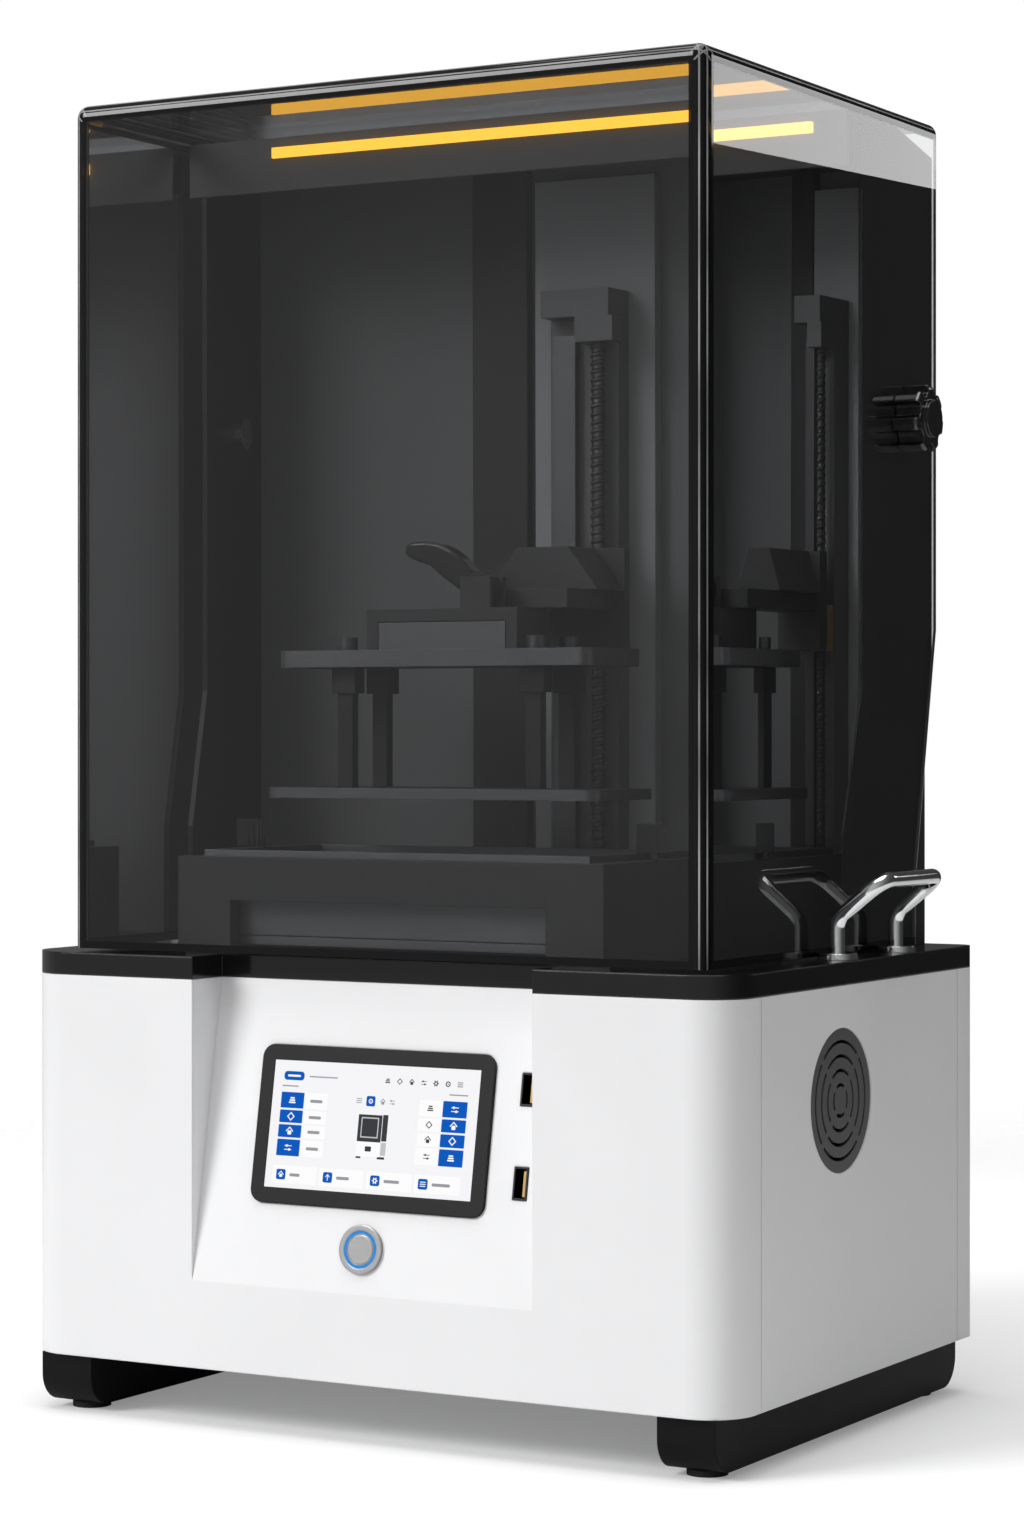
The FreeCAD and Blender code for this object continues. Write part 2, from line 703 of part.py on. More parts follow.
# Touch screen, drawn upright at the panel's foot line and leaned back
INWARD = "(bezel_depth - bezel_proud)"
bezel = prism("screen_bezel", "XZ_Plane", rectangle(SCREEN_X, SCREEN_Z), f"-{INWARD}", "bezel_depth")
rounded(bezel, "screen_corner", lambda edge, bound: along(edge, 1))
GLASS_X = widened(SCREEN_X, "-bezel_border")
GLASS_Z = widened(SCREEN_Z, "-bezel_border")
opening = drawing(bezel, "bezel_window", "XZ_Plane", "bezel_proud")
polygon(opening, rectangle(widened(GLASS_X, "glass_gap"), widened(GLASS_Z, "glass_gap")))
pad(bezel, opening, "bezel_depth", kind="Pocket")
node("screen_bezel", on_panel(bezel))
GLASS_FACE = "(glass_gap - bezel_proud)"
glass = box("glass_pane", GLASS_X, (GLASS_FACE, f"{GLASS_FACE} + glass_thickness"), GLASS_Z)
node("display_glass", on_panel(group("display_glass", glass)))
module = box("module_tray", widened(SCREEN_X, "-port_wall"), (INWARD, f"{INWARD} + module_depth"),
             widened(SCREEN_Z, "-port_wall"))
panel_core = box("module_core", GLASS_X, (f"{GLASS_FACE} + glass_thickness", INWARD), GLASS_Z)
node("display_module", on_panel(join("display_module", module, panel_core)))

# Power button: rim and barrel, light ring, moving cap and the nut behind the panel
BUTTON = ("0", "button_centre")
RIM_FACE = "-button_rim"
rim = rod("button_rim_disc", "Y", BUTTON, "button_radius", (RIM_FACE, "0"))
barrel = rod("button_barrel", "Y", BUTTON, "barrel_radius", ("0", "barrel_length"))
cap_bore = rod("button_bore", "Y", BUTTON, "cap_radius + cap_gap",
               (f"{RIM_FACE} - {MARGIN}", f"{RIM_FACE} + cap_depth + 2 * cap_travel"))
LED_SPAN = (RIM_FACE, f"{RIM_FACE} + led_depth")
led_groove = cut("led_groove",
                 rod("led_groove_out", "Y", BUTTON, "led_outer", (f"{RIM_FACE} - {MARGIN}", LED_SPAN[1])),
                 rod("led_groove_in", "Y", BUTTON, "led_inner", (f"{RIM_FACE} - {MARGIN}", LED_SPAN[1])))
button_shell = cut("button_shell", join("button_blank", rim, barrel), cap_bore, led_groove)
led = cut("button_light_ring", rod("led_out", "Y", BUTTON, "led_outer", LED_SPAN),
          rod("led_in", "Y", BUTTON, "led_inner", LED_SPAN))
node("button_light_ring", on_panel(led))
cap = rod("button_plunger", "Y", BUTTON, "cap_radius", (RIM_FACE, f"{RIM_FACE} + cap_depth"))
node("button_cap", on_panel(group("button_cap", cap)))
hexagon = doc.addObject("Part::Prism", "nut_hexagon")
hexagon.Polygon = 6
bind(hexagon, Circumradius="nut_radius", Height="nut_thickness")
place(hexagon, "0", "shell_wall", "button_centre", TURNS["Y"])
nut_bore = rod("nut_bore", "Y", BUTTON, "barrel_radius", ("0", "2 * shell_wall + nut_thickness"))
node("button_body", on_panel(group("button_body", button_shell, cut("button_nut", hexagon, nut_bore))))

# Data sockets: an open metal shell and a contact tongue each
shells = []
tongues = []
for port in PORTS:
    span = mid(port, "port_length")
    depth = ("-port_proud", "port_depth")
    hollow = box(f"{port}_hollow", widened(PORT_X, "-port_wall"),
                 (f"-port_proud - {MARGIN}", "port_depth - port_wall"),
                 widened(span, "-port_wall"))
    shells.append(cut(f"{port}_shell", box(f"{port}_block", PORT_X, depth, span), hollow))
    tongues.append(box(f"{port}_tongue", mid("(port_offset + port_breadth / 6)", "tongue_breadth"),
                       ("port_depth - port_wall - tongue_depth", "port_depth - port_wall"),
                       mid(port, "tongue_length")))
node("usb_shells", on_panel(group("usb_shells", *shells)))
node("usb_tongues", on_panel(group("usb_tongues", *tongues)))

# Side fan with its round grille
FAN = ("-fan_forward", "fan_height")
GRILLE_X = (f"{HALF_WIDTH} - grille_sink - grille_thickness", f"{HALF_WIDTH} - grille_sink")
GRILLE_CUT = (f"{GRILLE_X[0]} - {MARGIN}", f"{GRILLE_X[1]} + {MARGIN}")
rings = []
for turn in range(SIZES["slot_rings"]):
    inner = f"slot_first + {turn} * slot_pitch"
    rings.append(cut(f"slot_ring_{turn}", rod("slot_out", "X", FAN, f"{inner} + slot_breadth", GRILLE_CUT),
                     rod("slot_in", "X", FAN, inner, GRILLE_CUT)))
spokes = []
for angle in (45, -45):
    spoke = doc.addObject("Part::Box", "grille_spoke")
    bind(spoke, Length=f"({GRILLE_CUT[1]}) - ({GRILLE_CUT[0]})", Width="2 * grille_radius",
         Height="spoke_breadth")
    centred = place(spoke, "0", "-grille_radius", "-spoke_breadth / 2")
    spokes.append(place(group("grille_bar", centred), GRILLE_CUT[0], *FAN,
                        FreeCAD.Rotation(Vector(1, 0, 0), angle)))
slots = cut("grille_slots", group("slot_rings", *rings), *spokes)
disc = rod("grille_disc", "X", FAN, "grille_radius", GRILLE_X)
node("fan_grille", cut("fan_grille", disc, slots))
FAN_X = (f"({HALF_WIDTH} - shell_wall - fan_depth)", f"({HALF_WIDTH} - shell_wall)")
STRUT_X = (FAN_X[0], f"({FAN_X[0]} + strut_thickness)")
fan_block = box("fan_block", FAN_X, mid("-fan_forward", "fan_side"), mid("fan_height", "fan_side"))
fan_throat = rod("fan_throat", "X", FAN, "fan_bore", (f"{FAN_X[0]} - {MARGIN}", f"{FAN_X[1]} + {MARGIN}"))
hub_disc = rod("fan_hub_disc", "X", FAN, "fan_hub", STRUT_X)
level_strut = box("fan_strut_level", STRUT_X, mid("-fan_forward", "fan_side"),
                  mid("fan_height", "strut_breadth"))
upright_strut = box("fan_strut_upright", STRUT_X, mid("-fan_forward", "strut_breadth"),
                    mid("fan_height", "fan_side"))
spindle_bore = rod("spindle_bore", "X", FAN, "fan_spindle + fan_spindle_gap",
                   (f"{FAN_X[0]} - {MARGIN}", STRUT_X[1]))
fan_ring = join("fan_ring", cut("fan_duct", fan_block, fan_throat), hub_disc, level_strut, upright_strut)
node("fan_frame", cut("fan_frame", fan_ring, spindle_bore))
rotor = doc.addObject("PartDesign::Body", "fan_rotor")
hub = drawing(rotor, "rotor_hub", "XY_Plane", "grille_gap")
circle(hub, "0", "0", "fan_hub")
pad(rotor, hub, "fan_hub_length")
spindle = drawing(rotor, "rotor_spindle", "XY_Plane", "-strut_thickness")
circle(spindle, "0", "0", "fan_spindle")
pad(rotor, spindle, "strut_thickness + grille_gap")
blade = drawing(rotor, "rotor_blade", "XY_Plane", "grille_gap")
root = "fan_hub - fan_blade_thickness"
sweep_back = "fan_hub / 2"
polygon(blade, [(root, "0"), ("fan_blade", sweep_back), ("fan_blade", f"{sweep_back} + fan_blade_thickness"),
                (root, "2 * fan_blade_thickness")])
ring_of(rotor, pad(rotor, blade, "fan_hub_length"), "blade_count")
node("fan_rotor", place(rotor, STRUT_X[1], *FAN, TURNS["X"]))


def bent_bar(points, radius, bend):
    """Sweeps a round bar along straight runs joined by arcs of one bend radius."""
    edges = []
    start = points[0]
    for before, corner, after in zip(points, points[1:], points[2:]):
        into = (corner - before).normalize()
        out = (after - corner).normalize()
        turn = into.getAngle(out)
        setback = bend * math.tan(turn / 2)
        inward = (out - into).normalize()
        enter = corner - into * setback
        leave = corner + out * setback
        reach = (setback ** 2 + bend ** 2) ** 0.5 - bend
        edges.append(Part.LineSegment(start, enter).toShape())
        edges.append(Part.Arc(enter, corner + inward * reach, leave).toShape())
        start = leave
    edges.append(Part.LineSegment(start, points[-1]).toShape())
    first = (points[1] - points[0]).normalize()
    section = Part.Wire([Part.makeCircle(radius, points[0], first)])
    return Part.Wire(edges).makePipeShell([section], True, False)


# Carrying handles: a bent bar each, with collars and screws from under the deck
deck_level = SIZES["pad_thickness"] + SIZES["runner_height"] + SIZES["body_height"] + SIZES["deck_thickness"]
knee_level = deck_level + SIZES["handle_leg"]
bar_level = knee_level + SIZES["handle_rise"]
leg_x = SIZES["hood_width"] / 2 + SIZES["hood_side_inset"] - SIZES["handle_inset"]
bar_x = leg_x + SIZES["handle_spread"]
near = SIZES["handle_front"]
far = near + SIZES["handle_length"]
route = [Vector(leg_x, near, deck_level), Vector(leg_x, near, knee_level), Vector(bar_x, near, bar_level),
         Vector(bar_x, far, bar_level), Vector(leg_x, far, knee_level), Vector(leg_x, far, deck_level)]
bar = bent_bar(route, SIZES["handle_radius"], SIZES["handle_bend"])
for foot in (route[0], route[-1]):
    bar = bar.cut(Part.makeCylinder(SIZES["stud_radius"], SIZES["stud_reach"], foot))
handle = doc.addObject("Part::Feature", "handle_right")
handle.Shape = bar
node("handle_right", handle)
node("handle_left", mirrored("handle_left", handle))
collars = []
studs = []
for spot in HANDLE_SPOTS:
    collar = rod("collar_disc", "Z", spot, "collar_radius", (DECK_TOP, f"{DECK_TOP} + collar_height"))
    hole = rod("collar_hole", "Z", spot, "handle_radius + collar_gap", DECK_THROUGH)
    collars.append(cut("handle_collar", collar, hole))
    head = rod("stud_head", "Z", spot, "stud_head", (f"{DECK_BOTTOM} - stud_head_height", DECK_BOTTOM))
    shank = rod("stud_shank", "Z", spot, "stud_radius", (DECK_BOTTOM, f"{DECK_TOP} + stud_reach"))
    studs.append(join("handle_screw", head, shank))
node("handle_fixings", group("handle_fixings", *collars, *studs))

# Tinted hood, open at the rear and below
HOOD_HALF = "(hood_width / 2)"


def hood_edges(edge, bound):
    """Picks the upright front edges and the top edges, but not those at the open rear."""
    centre = edge.CenterOfMass
    upright = along(edge, 2) and centre.y < bound.YMin + 1
    top = centre.z > bound.ZMax - 1 and centre.y < bound.YMax - 1
    return upright or top


def hood_block(name, inset, rear, bottom):
    """Makes the hood's outer or inner block with rounded front and top edges."""
    sides = (f"{inset} - {HOOD_HALF}", f"{HOOD_HALF} - {inset}")
    ends = (f"{HOOD_FRONT} + {inset}", rear)
    body = prism(name, "XY_Plane", rectangle(sides, ends), bottom, f"hood_top - {inset} - ({bottom})")
    return rounded(body, f"hood_edge - {inset}", hood_edges)


hood_shell = cut("hood_shell", hood_block("hood_outside", "0", HOOD_REAR, HOOD_BOTTOM),
                 hood_block("hood_inside", "hood_wall", f"{HOOD_REAR} + hood_undercut",
                            f"{HOOD_BOTTOM} - hood_undercut"))
HEEL_Y = f"{HOOD_REAR} - hood_undercut"
beyond = f"{HOOD_REAR} + hood_undercut"
below = f"{HOOD_BOTTOM} - hood_undercut"
undercut = prism("hood_undercut_tool", "YZ_Plane",
                 [(HOOD_REAR, "hood_waist"), (HEEL_Y, "hood_heel"), (HEEL_Y, below), (beyond, below),
                  (beyond, "hood_waist")],
                 f"-hood_width", "2 * hood_width")
PIVOT = (PIVOT_Y, "pivot_height")
bush_hole = rod("bush_hole", "X", PIVOT, "bush_radius", ("-hood_width", "hood_width"))
node("hood", cut("hood", hood_shell, undercut, bush_hole))

# Hood pivots: bush in each wall, bolt through each cheek, star knob outside
WALL_X = (f"{HOOD_HALF} - hood_wall", HOOD_HALF)
sleeve = rod("bush_sleeve", "X", PIVOT, "bush_radius", WALL_X)
flange = rod("bush_flange_disc", "X", PIVOT, "bush_flange",
             (f"{WALL_X[0]} - bush_flange_thickness", WALL_X[0]))
bush_bore = rod("bush_bore", "X", PIVOT, "pivot_radius + pivot_gap", ("0", "hood_width"))
bush = cut("hood_bush_right", join("bush_blank", sleeve, flange), bush_bore)
node("hood_bushes", group("hood_bushes", bush, mirrored("hood_bush_left", bush)))
BOLT_END = f"({HOOD_HALF} + knob_gap + knob_height - pivot_radius)"
bolt_head = rod("bolt_head", "X", PIVOT, "pivot_head", (f"{CHEEK_INNER} - pivot_head_height", CHEEK_INNER))
bolt_shank = rod("bolt_shank", "X", PIVOT, "pivot_radius", (CHEEK_INNER, BOLT_END))
bolt = join("pivot_bolt_right", bolt_head, bolt_shank)
node("pivot_bolts", group("pivot_bolts", bolt, mirrored("pivot_bolt_left", bolt)))


def scalloped(name, radius, height, scallop, count):
    """Makes a round knob about its own Z axis with scallops cut round the rim."""
    body = doc.addObject("PartDesign::Body", name)
    rim_sketch = drawing(body, f"{name}_rim", "XY_Plane")
    circle(rim_sketch, "0", "0", radius)
    pad(body, rim_sketch, height)
    rounded(body, f"{height} / 6", lambda edge, bound: edge.CenterOfMass.z > bound.ZMax - 1)
    notch = drawing(body, f"{name}_notch", "XY_Plane")
    circle(notch, radius, "0", scallop)
    return ring_of(body, pad(body, notch, height, kind="Pocket", reverse=True), count)


for side, sign, turn in (("right", "1", TURNS["X"]), ("left", "-1", TURN_LEFT)):
    knob = scalloped(f"star_knob_{side}", "knob_radius", "knob_height", "knob_scallop", "knob_lobes")
    dome = drawing(knob, f"dome_{side}", "XY_Plane", "knob_height")
    circle(dome, "0", "0", "knob_hub")
    pad(knob, dome, "knob_hub_height")
    socket = drawing(knob, f"socket_{side}", "XY_Plane")
    circle(socket, "0", "0", "pivot_radius + pivot_gap")
    pad(knob, socket, "knob_height - pivot_radius + pivot_gap", kind="Pocket", reverse=True)
    node(f"star_knob_{side}", place(knob, f"{sign} * ({HOOD_HALF} + knob_gap)", *PIVOT, turn))

# Black rear housing: cheeks, back wall, visor and its light bar
VISOR_TOP = "(hood_top - hood_wall - visor_gap)"
VISOR_UNDER = f"({VISOR_TOP} - housing_wall)"
VISOR_LIP = f"({VISOR_TOP} - visor_drop)"
TAIL_TOP = f"({VISOR_TOP} - visor_tail_drop)"
TAIL_UNDER = f"({TAIL_TOP} - housing_wall)"
cheek_blank = prism("cheek_blank", "YZ_Plane",
                    [("cheek_foot_front", DECK_TOP), (HOUSING_REAR, DECK_TOP), (HOUSING_REAR, TAIL_UNDER),
                     ("visor_bend", VISOR_UNDER), ("cheek_front", VISOR_UNDER),
                     ("cheek_front", "cheek_waist"),
                     ("cheek_foot_front", "cheek_heel")], CHEEK_INNER, "cheek_thickness")
cheek_hole = rod("cheek_hole", "X", PIVOT, "pivot_radius", ("0", "hood_width"))
cheek = cut("cheek_right", cheek_blank, cheek_hole)
node("housing_cheeks", group("housing_cheeks", cheek, mirrored("cheek_left", cheek)))
node("back_wall",
     box("back_wall", (f"-{CHEEK_INNER}", CHEEK_INNER), (WALL_FRONT, HOUSING_REAR),
         (DECK_TOP, TAIL_UNDER)))
node("visor", prism("visor", "YZ_Plane",
                    [("visor_front", VISOR_LIP), ("visor_front", VISOR_TOP), ("visor_bend", VISOR_TOP),
                     (HOUSING_REAR, TAIL_TOP), (HOUSING_REAR, TAIL_UNDER), ("visor_bend", VISOR_UNDER),
                     ("visor_front + housing_wall", VISOR_UNDER), ("visor_front + housing_wall", VISOR_LIP)],
                    f"-{CHEEK_OUTER}", f"2 * {CHEEK_OUTER}"))
BAR_TOP = f"({VISOR_TOP} - light_bar_below_top)"
node("light_bar", box("light_bar", even("light_bar_width"), ("visor_front - light_bar_depth", "visor_front"),
                      (f"{BAR_TOP} - light_bar_height", BAR_TOP)))

# Column, cover, cable duct, rail and screw
node("column_cover", box("column_cover", mid("column_offset", "cover_width"), (COVER_FRONT, WALL_FRONT),
                         (DECK_TOP, "cover_top")))
node("cable_duct",
     box("cable_duct", mid("duct_offset", "duct_width"), (f"{WALL_FRONT} - duct_depth", WALL_FRONT),
                       (DECK_TOP, TAIL_UNDER)))
COLUMN_X = mid("column_offset", "column_width")
node("z_column", box("z_column", COLUMN_X, (COLUMN_FRONT, COVER_FRONT), (DECK_TOP, "column_top")))
BEARING_Y = (f"{SCREW_Y} - screw_reach", COLUMN_FRONT)
cap_block = box("cap_block", COLUMN_X, (BEARING_Y[0], COVER_FRONT),
                ("column_top", "column_top + column_cap_height"))
node("linear_rail", box("linear_rail", mid(RAIL_X, "rail_width"), (RAIL_FRONT, COLUMN_FRONT),
                        (f"{DECK_TOP} + rail_end_gap", "column_top - rail_end_gap")))
SCREW = (SCREW_X, SCREW_Y)
BEARING_Z = ("column_top - bearing_height", "column_top")
bearing_blank = box("bearing_blank", mid(SCREW_X, "bearing_width"), BEARING_Y, BEARING_Z)
bearing_bore = rod("bearing_bore", "Z", SCREW, "screw_radius + running_gap",
                   (f"{BEARING_Z[0]} - {MARGIN}", "column_top - rail_gap"))
node("column_cap", cut("column_cap", join("cap_and_bearing", cap_block, bearing_blank), bearing_bore))
SHAFT_BOTTOM = f"({DECK_BOTTOM} - shaft_drop)"
SCREW_FOOT = f"({DECK_BOTTOM} + screw_clearance)"
threaded = rod("screw_thread", "Z", SCREW, "screw_radius", (SCREW_FOOT, "column_top - bearing_height / 4"))
shaft = rod("screw_shaft", "Z", SCREW, "shaft_radius", (SHAFT_BOTTOM, SCREW_FOOT))
node("lead_screw", join("lead_screw", threaded, shaft))
motor_case = box("motor_case", mid(SCREW_X, "motor_side"), mid(SCREW_Y, "motor_side"),
                 (f"{DECK_BOTTOM} - motor_height", DECK_BOTTOM))
motor_bore = rod("motor_bore", "Z", SCREW, "shaft_radius + running_gap",
                 (f"{SHAFT_BOTTOM} - running_gap", f"{DECK_BOTTOM} + {MARGIN}"))
node("z_motor", cut("z_motor", motor_case, motor_bore))

# Carriage and arm
CARRIAGE_Z = ("carriage_bottom", "carriage_bottom + carriage_height")
block = box("carriage_blank", mid(RAIL_X, "carriage_block_width"), (BLOCK_FRONT, BLOCK_REAR), CARRIAGE_Z)
rail_slot = box("carriage_slot", widened(mid(RAIL_X, "rail_width"), "rail_gap"),
                (f"{RAIL_FRONT} - rail_gap", COVER_FRONT),
                ("carriage_bottom - carriage_height", "carriage_bottom + 2 * carriage_height"))
node("carriage_block", cut("carriage_block", block, rail_slot))
nut_blank = box("screw_nut_blank", mid(SCREW_X, "nut_width"), (BLOCK_FRONT, f"{SCREW_Y} + nut_depth / 2"),
                ("carriage_bottom", "carriage_bottom + nut_height"))
nut_thread = rod("screw_nut_bore", "Z", SCREW, "screw_radius + running_gap", (DECK_TOP, "column_top"))
node("screw_nut", cut("screw_nut", nut_blank, nut_thread))
GUSSET_TOP = f"({ARM_TOP} + gusset_height)"
node("carriage_plate",
     box("carriage_plate", mid("column_offset", "carriage_plate_width"), (CARRIAGE_FRONT, BLOCK_FRONT),
                           ("carriage_bottom", GUSSET_TOP)))
arm_plate = box("arm_plate", mid("column_offset", "arm_width"), (ARM_FRONT, CARRIAGE_FRONT),
                (CLAMP_TOP, ARM_TOP))
low = mid("column_offset", "gusset_base")
high = mid("column_offset", "gusset_top")
gusset = prism("arm_gusset", "XZ_Plane",
               [(low[0], ARM_TOP), (low[1], ARM_TOP), (high[1], GUSSET_TOP), (high[0], GUSSET_TOP)],
               f"-{CARRIAGE_FRONT}", "gusset_depth")
node("arm", join("arm", arm_plate, gusset))

# Clamp with its cam lever
CLAMP_Y = (CLAMP_FRONT, f"{CLAMP_FRONT} + clamp_depth")
CLAMP_X = even("clamp_width")
SLOT_TOP = f"({CLAMP_TOP} - clamp_wall)"
clamp_blank = box("clamp_blank", CLAMP_X, CLAMP_Y, (UPPER_TOP, CLAMP_TOP))
clamp_slot = box("clamp_slot", widened(CLAMP_X, "-clamp_wall"), widened(CLAMP_Y, "clamp_wall"),
                 (f"{UPPER_TOP} - clamp_wall", SLOT_TOP))
EAR_X = mid("lever_pivot", "2 * lever_cam")
EAR_Z = (CLAMP_TOP, f"{LEVER_Z} + 2 * lever_pin")
ears = [box("front_ear", EAR_X, (CLAMP_FRONT, f"{CLAMP_FRONT} + ear_thickness"), EAR_Z),
        box("rear_ear", EAR_X, (REAR_EAR, EAR_BACK), EAR_Z)]
PIN = ("lever_pivot", LEVER_Z)
PIN_Y = (CLAMP_FRONT, EAR_BACK)
pin_hole = rod("ear_hole", "Y", PIN, "lever_pin", PIN_Y)
clamp = cut("clamp_body", join("clamp_solid", cut("clamp_channel", clamp_blank, clamp_slot), *ears),
            pin_hole)
node("clamp_bracket", group("clamp_bracket", clamp, rod("lever_pin", "Y", PIN, "lever_pin", PIN_Y)))
tongue = box("clamp_tongue", widened(CLAMP_X, "-clamp_wall - clamp_clearance"), CLAMP_Y,
             (UPPER_TOP, f"{SLOT_TOP} - clamp_clearance"))
LEVER_Y = ("0", "lever_width")
cam = rod("lever_cam_disc", "Y", ("0", "0"), "lever_cam", LEVER_Y)
paddle = box("lever_paddle", ("-lever_length", "0"), LEVER_Y, even("lever_thickness"))
tip = rod("lever_tip", "Z", ("-lever_length", "lever_width / 2"), "lever_width / 2", even("lever_thickness"))
lever_bore = rod("lever_bore", "Y", ("0", "0"), "lever_pin + running_gap", widened(LEVER_Y, "lever_pin"))
lever = cut("cam_lever", join("lever_blank", cam, paddle, tip), lever_bore)
place(lever, "lever_pivot", LEVER_FRONT, LEVER_Z, FreeCAD.Rotation(Vector(0, 1, 0), 15))
lever.setExpression("Placement.Rotation.Angle", formula("lever_angle"))
node("cam_lever", lever)

# Build platform: upper plate, four posts, lower plate and levelling screws
POST_SPOTS = [(f"{side} * post_spread", f"{PLATE_MIDDLE} + {end} * post_spacing") for side in ("-1", "1")
              for end in ("-1", "1")]
upper = prism("upper_blank", "XY_Plane",
              rectangle(even("upper_plate_width"), mid(PLATE_MIDDLE, "upper_plate_depth")),
              "upper_plate_bottom", "upper_plate_thickness")
rounded(upper, "plate_corner", lambda edge, bound: along(edge, 2))
level_holes = []
posts = []
level_screws = []
for spot in POST_SPOTS:
    level_holes.append(rod("level_hole", "Z", spot, "level_shank + running_gap",
                           ("plate_bottom", CLAMP_TOP)))
    column = box("post_column", mid(spot[0], "post_side"), mid(spot[1], "post_side"),
                 (PLATE_TOP, "upper_plate_bottom"))
    collar = box("post_collar", mid(spot[0], "post_collar"), mid(spot[1], "post_collar"),
                 ("upper_plate_bottom - post_collar_height", "upper_plate_bottom"))
    thread = rod("post_thread", "Z", spot, "level_shank", ("upper_plate_bottom - level_reach", CLAMP_TOP))
    posts.append(cut("platform_post", join("post_blank", column, collar), thread))
    head = rod("level_head", "Z", spot, "level_head", (UPPER_TOP, f"{UPPER_TOP} + level_head_height"))
    shank = rod("level_shank", "Z", spot, "level_shank", ("upper_plate_bottom - level_reach", UPPER_TOP))
    level_screws.append(join("level_screw", head, shank))
node("upper_plate", join("upper_plate", cut("drilled_plate", upper, *level_holes), tongue))
node("platform_posts", group("platform_posts", *posts))
node("level_screws", group("level_screws", *level_screws))
build = prism("build_plate", "XY_Plane", rectangle(even("plate_width"), mid(PLATE_MIDDLE, "plate_depth")),
              "plate_bottom", "plate_thickness")
node("build_plate", rounded(build, "plate_corner", lambda edge, bound: along(edge, 2)))

# Vat frame, vat, film and thumb screws
FRAME_X = even("frame_width")
FRAME_Y = (FRAME_FRONT, FRAME_REAR)
WELL_X = widened(FRAME_X, "-frame_rim")
WELL_Y = widened(FRAME_Y, "-frame_rim")
frame_well = box("frame_well", WELL_X, WELL_Y, (DECK_BOTTOM, f"{FRAME_TOP} + {MARGIN}"))
frame_arch = box("frame_arch", even("frame_arch_width"), (f"{FRAME_FRONT} - {MARGIN}", FRAME_MIDDLE),
                 (DECK_BOTTOM, f"{DECK_TOP} + frame_arch_height"))
THUMB_SPOTS = [("left", "-thumb_offset", "-thumb_forward"), ("right", "thumb_offset", "-thumb_forward")]
stud_bores = [rod("thumb_bore", "Z", (x, y), "thumb_stud + running_gap",
                  (f"{FRAME_TOP} - thumb_stud_depth - thumb_gap", f"{FRAME_TOP} + {MARGIN}"))
              for side, x, y in THUMB_SPOTS]
node("vat_frame",
     cut("vat_frame", box("frame_blank", FRAME_X, FRAME_Y, (DECK_TOP, FRAME_TOP)), frame_well, frame_arch,
         *stud_bores))
VAT_X = widened(WELL_X, "-vat_gap")
VAT_Y = widened(WELL_Y, "-vat_gap")
VAT_BOTTOM = f"({FRAME_TOP} - vat_depth)"
LIP_TOP = f"({FRAME_TOP} + vat_lip_thickness)"
vat_walls = box("vat_walls", VAT_X, VAT_Y, (VAT_BOTTOM, LIP_TOP))
vat_rim = box("vat_rim", widened(VAT_X, "vat_lip"), widened(VAT_Y, "vat_lip"), (FRAME_TOP, LIP_TOP))
INNER_X = widened(VAT_X, "-vat_wall")
INNER_Y = widened(VAT_Y, "-vat_wall")
vat_hollow = box("vat_hollow", INNER_X, INNER_Y, (DECK_TOP, f"{LIP_TOP} + {MARGIN}"))
node("resin_vat", cut("resin_vat", join("vat_blank", vat_walls, vat_rim), vat_hollow))
FILM_Z = (f"{VAT_BOTTOM} - film_thickness", VAT_BOTTOM)
node("vat_film", box("vat_film", VAT_X, VAT_Y, FILM_Z))
RING_Z = (f"{FILM_Z[0]} - film_ring_height", FILM_Z[0])
ring_hole = box("film_ring_hole", widened(VAT_X, "-film_ring_width"), widened(VAT_Y, "-film_ring_width"),
                (DECK_BOTTOM, FRAME_TOP))
node("film_ring", cut("film_ring", box("film_ring_blank", VAT_X, VAT_Y, RING_Z), ring_hole))
for side, x, y in THUMB_SPOTS:
    thumb = scalloped(f"thumb_knob_{side}", "thumb_radius", "thumb_height", "thumb_scallop", "thumb_ribs")
    stud = drawing(thumb, f"thumb_stud_{side}", "XY_Plane", "-thumb_stud_depth - vat_lip_thickness")
    circle(stud, "0", "0", "thumb_stud")
    pad(thumb, stud, "thumb_stud_depth + vat_lip_thickness")
    node(f"thumb_knob_{side}", place(thumb, x, y, f"{LIP_TOP} + thumb_gap", LEVEL))

# Inside the cabinet: light engine, lens, power supply and main board
engine_z = (PAN_TOP, f"({PAN_TOP} + engine_height)")
engine = box("engine_case", even("engine_width"), mid(PLATE_MIDDLE, "engine_depth"), engine_z)
lens = rod("projection_lens", "Z", ("0", PLATE_MIDDLE), "lens_radius",
           (engine_z[1], f"{engine_z[1]} + lens_height"))
node("light_engine", join("light_engine", engine, lens))
node("power_supply", box("power_supply", mid("supply_offset", "supply_width"), even("supply_depth"),
                         (PAN_TOP, f"{PAN_TOP} + supply_height")))
BOARD_X = mid("board_offset", "board_width")
BOARD_Y = even("board_depth")
BOARD_Z = (f"({PAN_TOP} + standoff_height)", f"({PAN_TOP} + standoff_height + board_thickness)")
node("main_board", box("main_board", BOARD_X, BOARD_Y, BOARD_Z))
inner_x = widened(BOARD_X, "-standoff_inset")
inner_y = widened(BOARD_Y, "-standoff_inset")
standoffs = [rod("standoff", "Z", (x, y), "standoff_radius", (PAN_TOP, BOARD_Z[0])) for x in inner_x
             for y in inner_y]
node("base_pan", join("base_pan_with_standoffs", pan, *standoffs))

